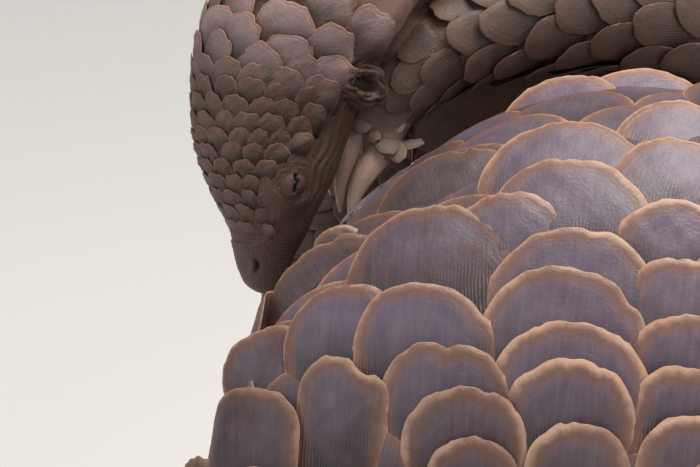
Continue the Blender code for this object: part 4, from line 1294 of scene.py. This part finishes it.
skinPoints = np.zeros(len(finished.vertices) * 3)
finished.vertices.foreach_get("co", skinPoints)
skinPoints = skinPoints.reshape(-1, 3)
skinFaces = [tuple(face.vertices) for face in finished.polygons]
bpy.data.objects.remove(roughSkin)
print("body skin", len(skinFaces), "faces")

# Features of the head: a place along it, degrees from the back, sizes in metres, and fades. A tone is how much
# painted shade darkens the feature's hollows, creases and folds
headPlan = {
    "nostril": {"place": 1.45, "turn": 46.0, "long": 0.0020, "wide": 0.0008, "depth": 0.0013, "shift": 0.0007,
                "comma": 160.0, "tone": 0.7},
    "wing": {"long": 1.3, "away": 0.0016, "wide": 0.0012, "high": 0.0005},
    "mouth": {"start": 0.35, "startFade": 0.3, "end": 3.0, "endFade": 0.5, "turn": 128.0, "wave": (4.0, 1.4),
              "wide": 0.0006, "depth": 0.0007, "tone": 0.8},
    "hollow": {"place": 6.35, "turn": 101.0, "wide": 0.0075, "depth": 0.0032},
    "earHole": {"place": 7.45, "turn": 110.0, "wide": 0.0045, "depth": 0.0030},
    "hollowTone": 0.75,
    "cheek": {"place": 5.2, "turn": 118.0, "apart": 0.0042, "lean": 0.25, "wave": (0.0011, 420),
              "round": (98, 112), "along": (3.4, 4.4), "high": 0.00035, "tone": 0.35},
    "wrinkles": {"along": 39.0, "waves": ((1.6, 38.0), (0.9, 17.0)), "start": (0.9, 1.4), "end": (3.2, 4.4),
                 "high": 0.00011, "tone": 0.16},
    "eye": {"lid": 0.0005, "slitLong": 0.0033, "slitWide": 0.0010, "slitUp": 0.0004, "slitFade": (0.75, 1.15),
            "swell": 0.0014, "swellWide": 0.0090, "reach": 0.016, "ring": (0.0062, 0.0125), "deep": 0.0022,
            "lip": 0.0004, "lipAt": 1.5, "lipWide": 0.45},
    "lidFolds": {"apart": 0.0021, "high": 0.00011, "tone": 0.14},
    "throat": ((100.0, 128.0), (2.5, 5.0)), "snout": (1.6, 3.6), "noseRound": 0.75, "noseShare": (0.08, 0.92),
}


def headGrid():
    # finer round the nose, the eyes and the nostrils
    places = np.unique(np.round(np.concatenate((
        0.0 + (1 - np.cos(np.linspace(0, math.pi / 2, 14))) * 0.5, np.arange(0.5, 2.6, 0.055),
        np.arange(2.6, 3.9, 0.075), np.arange(3.9, 5.35, 0.036), np.arange(5.35, 8.2, 0.06),
        np.arange(8.2, skinPlan["headEnd"] + 0.01, 0.1))), 4))
    turns = np.unique(np.round(np.concatenate((
        np.arange(-180, 180, 3.0), np.arange(-118, -66, 1.25), np.arange(66, 118, 1.25),
        np.arange(-58, -36, 1.5), np.arange(36, 58, 1.5))), 3))
    return places, turns


eyePlan = {"inside": 0.0034, "up": 0.0012, "segments": (40, 28), "clearFront": 0.05, "frontRound": 6}


def eyeSeat(sign):
    centre, back, left, forward, sizes = (value[0] for value in bodyFrames(np.array((eyePlace,))))
    ball = centre + left * sign * (sizes[0] - eyePlan["inside"]) + back * eyePlan["up"]
    return ball, left * sign, back, forward


def headShape():
    places, turns = headGrid()
    placeGrid, turnGrid = np.meshgrid(places, turns, indexing="ij")
    points, normals = sheetAt(bodySheet, placeGrid, turnGrid)
    centre, _, _, _, sizes = bodyFrames(places)
    points = points - normals * coatDepth(placeGrid, turnGrid)[..., None]
    # the nose's end is rounded
    near = np.clip(placeGrid / headPlan["noseRound"], 0.0, 1.0)
    shrink = np.sqrt(np.maximum(1.0 - (1.0 - near) ** 2.2, 0.0))
    least, gain = headPlan["noseShare"]
    points = centre[:, None] + (points - centre[:, None]) * (least + gain * shrink)[..., None]
    away = np.zeros_like(placeGrid)
    # this mask collects painted shade: nostrils, mouth line, hollows, the troughs of creases, wrinkles and lid folds,
    # and the eye slit
    fold = np.zeros_like(placeGrid)
    aroundFade, alongFade = headPlan["throat"]
    throat = smoothStep(*aroundFade, np.abs(turnGrid)) * smoothStep(*alongFade, placeGrid)
    snout = 1.0 - smoothStep(*headPlan["snout"], placeGrid)

    def flatFrom(spot, sign):
        # metres along and round from a spot on the head, and which points lie on its side
        place, turn = spot["place"], spot["turn"] * sign
        home, _ = sheetAt(bodySheet, np.array((place,)), np.array((turn,)))
        _, back, left, forward, _ = (value[0] for value in bodyFrames(np.array((place,))))
        offset = points - home[0]
        angle = math.radians(turn)
        tangent = -back * math.sin(angle) + left * math.cos(angle)
        return offset @ forward, offset @ tangent, np.sign(turnGrid) == np.sign(turn)

    for sign in (1.0, -1.0):
        spot = headPlan["nostril"]
        along, across, here = flatFrom(spot, sign)
        across = across * sign
        curve = across - spot["shift"] + spot["comma"] * along ** 2      # a comma that opens forwards
        shape = np.exp(-(along / spot["long"]) ** 4 - (curve / spot["wide"]) ** 2) * here
        away -= spot["depth"] * shape
        fold = np.maximum(fold, shape * spot["tone"])
        wing = headPlan["wing"]
        edge = np.exp(-(along / (spot["long"] * wing["long"])) ** 4 - ((curve + wing["away"]) / wing["wide"]) ** 2)
        away += wing["high"] * (edge * here)
        line = headPlan["mouth"]
        frameWide = np.interp(placeGrid, places, sizes[:, 0])
        gap = turnGrid * sign - line["turn"] - line["wave"][0] * np.sin(placeGrid * line["wave"][1])
        gap = gap * math.pi / 180 * frameWide
        lips = np.exp(-(gap / line["wide"]) ** 2)
        lips = lips * smoothStep(line["start"], line["start"] + line["startFade"], placeGrid)
        lips = lips * (1 - smoothStep(line["end"] - line["endFade"], line["end"], placeGrid))
        away -= line["depth"] * lips
        fold = np.maximum(fold, lips * line["tone"])
        for spot in (headPlan["hollow"], headPlan["earHole"]):
            along, across, here = flatFrom(spot, sign)
            shape = np.exp(-((along / spot["wide"]) ** 2 + (across / spot["wide"]) ** 2)) * here
            away -= spot["depth"] * shape
            fold = np.maximum(fold, shape ** 1.5 * headPlan["hollowTone"])
        # creases of the cheek and the throat
        cheek = headPlan["cheek"]
        along, across, here = flatFrom(cheek, sign)
        spread = across * sign + cheek["lean"] * along + cheek["wave"][0] * np.sin(along * cheek["wave"][1])
        creases = np.sin(spread * 2 * math.pi / cheek["apart"])
        mask = smoothStep(*cheek["round"], turnGrid * sign) * smoothStep(*cheek["along"], placeGrid)
        away += cheek["high"] * creases * mask
        fold = np.maximum(fold, smoothStep(0.45, 1.0, -creases) * mask * cheek["tone"])
    # fine wrinkles run across the bare snout
    plan = headPlan["wrinkles"]
    wrinkle = placeGrid * plan["along"]
    for reach, width in plan["waves"]:
        wrinkle = wrinkle + reach * np.sin(turnGrid * math.pi / width)
    wrinkle = np.sin(wrinkle)
    bare = smoothStep(*plan["start"], placeGrid) * (1.0 - smoothStep(*plan["end"], placeGrid))
    away += plan["high"] * wrinkle * bare
    fold = np.maximum(fold, smoothStep(0.5, 1.0, -wrinkle) * bare * plan["tone"])
    points = points + normals * away[..., None]
    # the lids lie on the eyeball and leave a narrow slit
    plan, folds = headPlan["eye"], headPlan["lidFolds"]
    for sign in (1.0, -1.0):
        ball, lidLeft, lidBack, lidForward = eyeSeat(sign)
        offset = points - ball
        out, up, ahead = (offset @ axis for axis in (lidLeft, lidBack, lidForward))
        flat = np.sqrt(up ** 2 + ahead ** 2)
        angle = np.arctan2(up, ahead)
        here = (turnGrid * sign > 20) & (flat < plan["reach"])
        ring = np.where(here, 1.0 - smoothStep(*plan["ring"], flat), 0.0)
        lid = eyeRadius + plan["lid"]
        cover = np.sqrt(np.maximum(lid ** 2 - np.minimum(flat, lid * 0.93) ** 2, 0.0))
        bulge = plan["swell"] * np.exp(-(flat / plan["swellWide"]) ** 2)
        goal = np.maximum(out, cover) * ring + out * (1 - ring) + bulge * ring
        wrinkle = flat + 0.0009 * np.sin(angle * 3 + 0.7) + 0.0004 * np.sin(angle * 8)
        wrinkle = np.sin(wrinkle * 2 * math.pi / folds["apart"])
        high = folds["high"] * wrinkle * smoothStep(0.0036, 0.0052, flat) * (1 - smoothStep(0.009, 0.013, flat))
        goal = goal + np.where(here, high, 0.0)
        slit = (ahead / plan["slitLong"]) ** 2 + ((up - plan["slitUp"]) / plan["slitWide"]) ** 2
        hole = np.where(here, 1.0 - smoothStep(*plan["slitFade"], slit), 0.0)
        goal = goal * (1 - hole) + (eyeRadius - plan["deep"]) * hole
        lip = np.where(here, np.exp(-((slit - plan["lipAt"]) / plan["lipWide"]) ** 2), 0.0)
        goal = goal + plan["lip"] * lip
        points = points + np.where(here, goal - out, 0.0)[..., None] * lidLeft
        dark = smoothStep(0.2, 1.0, -wrinkle) * smoothStep(0.0036, 0.005, flat)
        dark = dark * (1 - smoothStep(0.008, 0.012, flat)) * folds["tone"]
        fold = np.maximum(fold, np.where(here, hole, 0.0))
        fold = np.maximum(fold, np.where(here, dark, 0.0))
    return points, snout, throat, fold


headPoints, headSnout, headThroat, headFoldShade = headShape()
headFlat, headFaces = closedShell(headPoints)
start = len(skinPoints)
allPoints = np.vstack((skinPoints, headFlat))
allPoints[:, 2] = np.maximum(allPoints[:, 2], floorGap["skin"])
allFaces = skinFaces + [tuple(start + k for k in face) for face in headFaces]
fleshKinds = ("head", "neck", "trunk", "tail", "foreleg", "forefoot", "hindleg", "hindfoot")
skin = newPiece("skin", allPoints, allFaces, materials["skin"])
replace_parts(skin, *(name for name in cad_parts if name.split("_")[0] in fleshKinds))
clawRoots = [ringCentre + row[1] for rows in clawRows.values() for row in rows]
rootAway = np.min([np.linalg.norm(skinPoints - spot, axis=1) for spot in clawRoots], axis=0)
fingers = 1.0 - smoothStep(*fingerPlan["shows"], rootAway)
setValues(skin.data, "finger", np.hstack((fingers, np.zeros(len(headFlat)))))
for name, values in (("snout", headSnout), ("throat", headThroat), ("fold", headFoldShade)):
    setValues(skin.data, name, np.hstack((np.zeros(start), values.ravel(), np.zeros(2))))
shape = bmesh.new()
shape.from_mesh(skin.data)
bmesh.ops.recalc_face_normals(shape, faces=shape.faces)
shape.to_mesh(skin.data)
shape.free()
print("skin", sum(len(face) - 2 for face in allFaces), "triangles")

earPlan = {"size": (0.0125, 0.0080, 0.0060), "sunk": 0.0010, "rings": 44, "sides": 72, "hollow": 0.0050,
           "hollowFade": (0.20, 0.55), "front": (-0.1, 0.4), "folds": 5, "foldHigh": 0.0007,
           "foldFade": (0.30, 0.6), "tone": 0.8}


def eyeBall(side, sign):
    ball, outward, _, _ = eyeSeat(sign)
    shape = bmesh.new()
    across, along = eyePlan["segments"]
    bmesh.ops.create_uvsphere(shape, u_segments=across, v_segments=along, radius=eyeRadius)
    flat = np.array([corner.co[:] for corner in shape.verts])
    faces = [[corner.index for corner in face.verts] for face in shape.faces]
    shape.free()
    # the clear front stands a touch proud
    near = np.maximum(unitRows(flat) @ outward, 0.0)
    flat = flat * (1.0 + eyePlan["clearFront"] * near ** eyePlan["frontRound"])[:, None]
    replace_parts(newPiece("eyeball_" + side, flat + ball, faces, materials["eye"]), "eye_" + side)


def earFold(side, sign):
    # a fleshy ring of folds round a hollow that opens to the outside; painted shade darkens the hollow and the
    # troughs between the folds
    centre, back, left, forward, sizes = (value[0] for value in bodyFrames(np.array((earPlace,))))
    turn = math.radians(earTurn)
    spot = centre + left * sign * (sizes[0] - earPlan["sunk"]) * math.sin(turn) + back * sizes[2] * math.cos(turn)
    outward = np.cross(back, forward) * sign
    upper = np.linspace(0.02, math.pi - 0.02, earPlan["rings"])
    around = np.linspace(0, 2 * math.pi, earPlan["sides"] + 1)[:-1]
    polar, azimuth = np.meshgrid(upper, around, indexing="ij")
    ux, uy, uz = np.cos(azimuth) * np.sin(polar), np.sin(azimuth) * np.sin(polar), np.cos(polar)
    flat = np.sqrt((ux + 0.10) ** 2 + (uy * 1.25) ** 2)
    front = smoothStep(*earPlan["front"], uz)
    hollow = (1.0 - smoothStep(*earPlan["hollowFade"], flat)) * front
    lobes = 1.0 + 0.10 * np.sin(azimuth * 3 + 0.8) + 0.06 * np.sin(azimuth * 5 - 1.1)
    lobes = lobes + 0.04 * np.sin(azimuth * 9 + polar * 3)
    folds = flat * earPlan["folds"] * 4.4 + 1.6 * np.sin(azimuth * 2 + 0.5) + 0.8 * np.sin(azimuth * 5 + polar * 4)
    folds = np.sin(folds) + 0.6 * np.sin(azimuth * 7 + polar * 6)
    folds = folds * smoothStep(*earPlan["foldFade"], flat) * front
    size = earPlan["size"]
    high = uz * size[2] + folds * earPlan["foldHigh"] - hollow * earPlan["hollow"]
    points = (spot + (ux * size[0] * lobes)[..., None] * back + (uy * size[1] * lobes)[..., None] * forward
              + high[..., None] * outward)
    flatPoints, faces = closedShell(points)
    piece = newPiece("earFold_" + side, flatPoints, faces, materials["skin"])
    creaseShade = np.maximum(hollow ** 0.6, smoothStep(0.1, 1.0, -folds) * earPlan["tone"])
    for name in ("snout", "throat"):
        setValues(piece.data, name, np.zeros(len(flatPoints)))
    setValues(piece.data, "fold", np.hstack((creaseShade.ravel(), (0.0, 0.0))))
    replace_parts(piece, "ear_" + side)


for make in (eyeBall, earFold):
    for side, sign in (("left", 1.0), ("right", -1.0)):
        make(side, sign)

# A claw tapers by a share and a power, is a little deeper than wide, and has grooves along it and a keel
clawPlan = {"rings": 44, "sides": 28, "taper": (0.86, 1.6), "depthShare": 1.15, "grooves": (0.022, 7),
            "ripples": (0.008, 34), "keel": 0.12, "capRings": 4, "capShare": 0.98}


def curvedClaw(name, node, root, tip, bend, radius):
    root, tip, bend = (np.array(value, dtype=float) for value in (root, tip, bend))
    parts = np.linspace(0.0, 1.0, clawPlan["rings"])
    around = np.linspace(0, 2 * math.pi, clawPlan["sides"] + 1)[:-1]
    centre = root + (tip - root) * parts[:, None] + bend * (4 * parts * (1 - parts))[:, None]
    along = unitRows((tip - root) + bend * (4 * (1 - 2 * parts))[:, None])
    over = unitRows(bend - along * (along @ bend)[:, None])
    across = np.cross(along, over)
    size = radius * (1.0 - clawPlan["taper"][0] * parts ** clawPlan["taper"][1])
    (groove, count), (ripple, ripples) = clawPlan["grooves"], clawPlan["ripples"]
    rough = 1.0 + groove * np.sin(around * count)[None, :]
    rough = rough + ripple * np.sin(parts * ripples + 0.6 * np.sin(parts * 9))[:, None]
    keel = 1.0 - clawPlan["keel"] * np.maximum(-np.sin(around), 0.0)[None, :]
    deep = size[:, None] * clawPlan["depthShare"] * np.sin(around) * rough * keel
    points = (centre[:, None] + across[:, None] * (size[:, None] * np.cos(around) * rough)[..., None]
              + over[:, None] * deep[..., None])
    capParts = np.linspace(0.25, 1.0, clawPlan["capRings"])[:, None, None]
    cap = centre[-1] + (points[-1] - centre[-1])[None] * np.sqrt(1 - (capParts * clawPlan["capShare"]) ** 2)
    cap = cap + along[-1] * size[-1] * capParts
    flat, faces = closedShell(np.vstack((points, cap)))
    flat[:, 2] = np.maximum(flat[:, 2], floorGap["skin"])
    piece = newPiece(name, flat, faces, materials["claw"])
    ringParts = np.hstack((parts, np.ones(clawPlan["capRings"])))
    ringTurns = np.tile(np.abs(around - math.pi) / math.pi, len(ringParts))
    setValues(piece.data, "along", np.hstack((np.repeat(ringParts, len(around)), (0.0, 1.0))))
    setValues(piece.data, "around", np.hstack((ringTurns, (0.5, 0.5))))
    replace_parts(piece, node)


for side, rows in clawRows.items():
    for label, root, tip, radius in rows:
        ending = side + "_" + label
        curvedClaw("foreClaw_" + ending, "claw_" + ending, ringCentre + root, ringCentre + tip, clawBends[side],
                   radius)

# Nails of the hind feet: degrees round the foot, the root in shares of the foot's radius, and the way out
nailPlan = {"turns": (-64, -32, 0, 32, 64), "out": 0.74, "ahead": 0.30, "way": (0.86, 0.50), "length": 0.011,
            "bend": 0.001, "radius": 0.0034}
for side, limbName in (("left", "hindLeft"), ("right", "hindRight")):
    rows = np.array(limbRows[limbName])
    end, footRadius = ringCentre + rows[-1, :3], rows[-1, 3]
    along = unitRows(rows[-1, :3] - rows[-2, :3])
    across = unitRows(np.cross(along, (0.0, 0.0, 1.0)))
    over = np.cross(across, along)
    for number, degrees in enumerate(nailPlan["turns"], 1):
        turn = math.radians(degrees)
        spot = across * math.sin(turn) + over * math.cos(turn)
        root = end + spot * footRadius * nailPlan["out"] + along * footRadius * nailPlan["ahead"]
        tip = root + (along * nailPlan["way"][0] + spot * nailPlan["way"][1]) * nailPlan["length"]
        ending = side + "_" + str(number)
        curvedClaw("hindNail_" + ending, "nail_" + ending, root, tip, spot * nailPlan["bend"], nailPlan["radius"])
print("eyes, ears and claws made")

# Floor, light and camera
stagePlan = {"floor": (0.78, 0.76, 0.73), "floorRough": 0.85, "world": (0.95, 0.97, 1.0), "worldStrength": 0.40}
floorMesh = bpy.data.meshes.new("floor")
floorMesh.from_pydata([(-8, -8, 0), (8, -8, 0), (8, 12, 0), (-8, 12, 0)], [], [(0, 1, 2, 3)])
floor = bpy.data.objects.new("floor", floorMesh)
bpy.context.scene.collection.objects.link(floor)
floorMaterial = bpy.data.materials.new("paleFloor")
_, floorShader = nodesOf(floorMaterial)
floorShader.inputs["Base Color"].default_value = (*stagePlan["floor"], 1.0)
floorShader.inputs["Roughness"].default_value = stagePlan["floorRough"]
floorMesh.materials.append(floorMaterial)

world = bpy.data.worlds.new("softDay")
bpy.context.scene.world = world
world.use_nodes = True
background = world.node_tree.nodes["Background"]
background.inputs["Color"].default_value = (*stagePlan["world"], 1.0)
background.inputs["Strength"].default_value = stagePlan["worldStrength"]

lights = {
    "keyFromAbove": {"spot": (0.35, 0.05, 1.75), "aim": (0.0, 0.0, 0.2), "size": 0.9, "power": 27.0,
                     "colour": (1.0, 0.95, 0.88)},
    "fillFromLeft": {"spot": (-1.5, -1.2, 0.9), "aim": (0.0, 0.0, 0.15), "size": 1.2, "power": 6.5,
                     "colour": (0.80, 0.89, 1.0)},
    "fillFromRight": {"spot": (1.5, -1.3, 1.0), "aim": (0.0, 0.0, 0.15), "size": 1.4, "power": 5.0,
                      "colour": (0.92, 0.95, 1.0)},
}
for name, plan in lights.items():
    lamp = bpy.data.lights.new(name, "AREA")
    lamp.energy = plan["power"]
    lamp.size = plan["size"]
    lamp.color = plan["colour"]
    holder = bpy.data.objects.new(name, lamp)
    bpy.context.scene.collection.objects.link(holder)
    holder.location = plan["spot"]
    holder.rotation_euler = (Vector(plan["aim"]) - Vector(plan["spot"])).to_track_quat("-Z", "Y").to_euler()

sensorWide = 36.0      # millimetres
cameraData = bpy.data.cameras.new("camera")
cameraData.sensor_width = sensorWide
cameraData.lens = sensorWide * cameraPlan["distance"] * cameraPlan["pixelsPerMetre"] / cameraPlan["frameWide"]
camera = bpy.data.objects.new("camera", cameraData)
bpy.context.scene.collection.objects.link(camera)
camera.location = cameraAxes()[0]
camera.rotation_euler = (math.radians(90.0 - cameraPlan["elevation"]), 0.0, 0.0)
bpy.context.scene.camera = camera
bpy.context.scene.view_settings.view_transform = "Standard"
print("stage set")

bpy.context.view_layer.update()
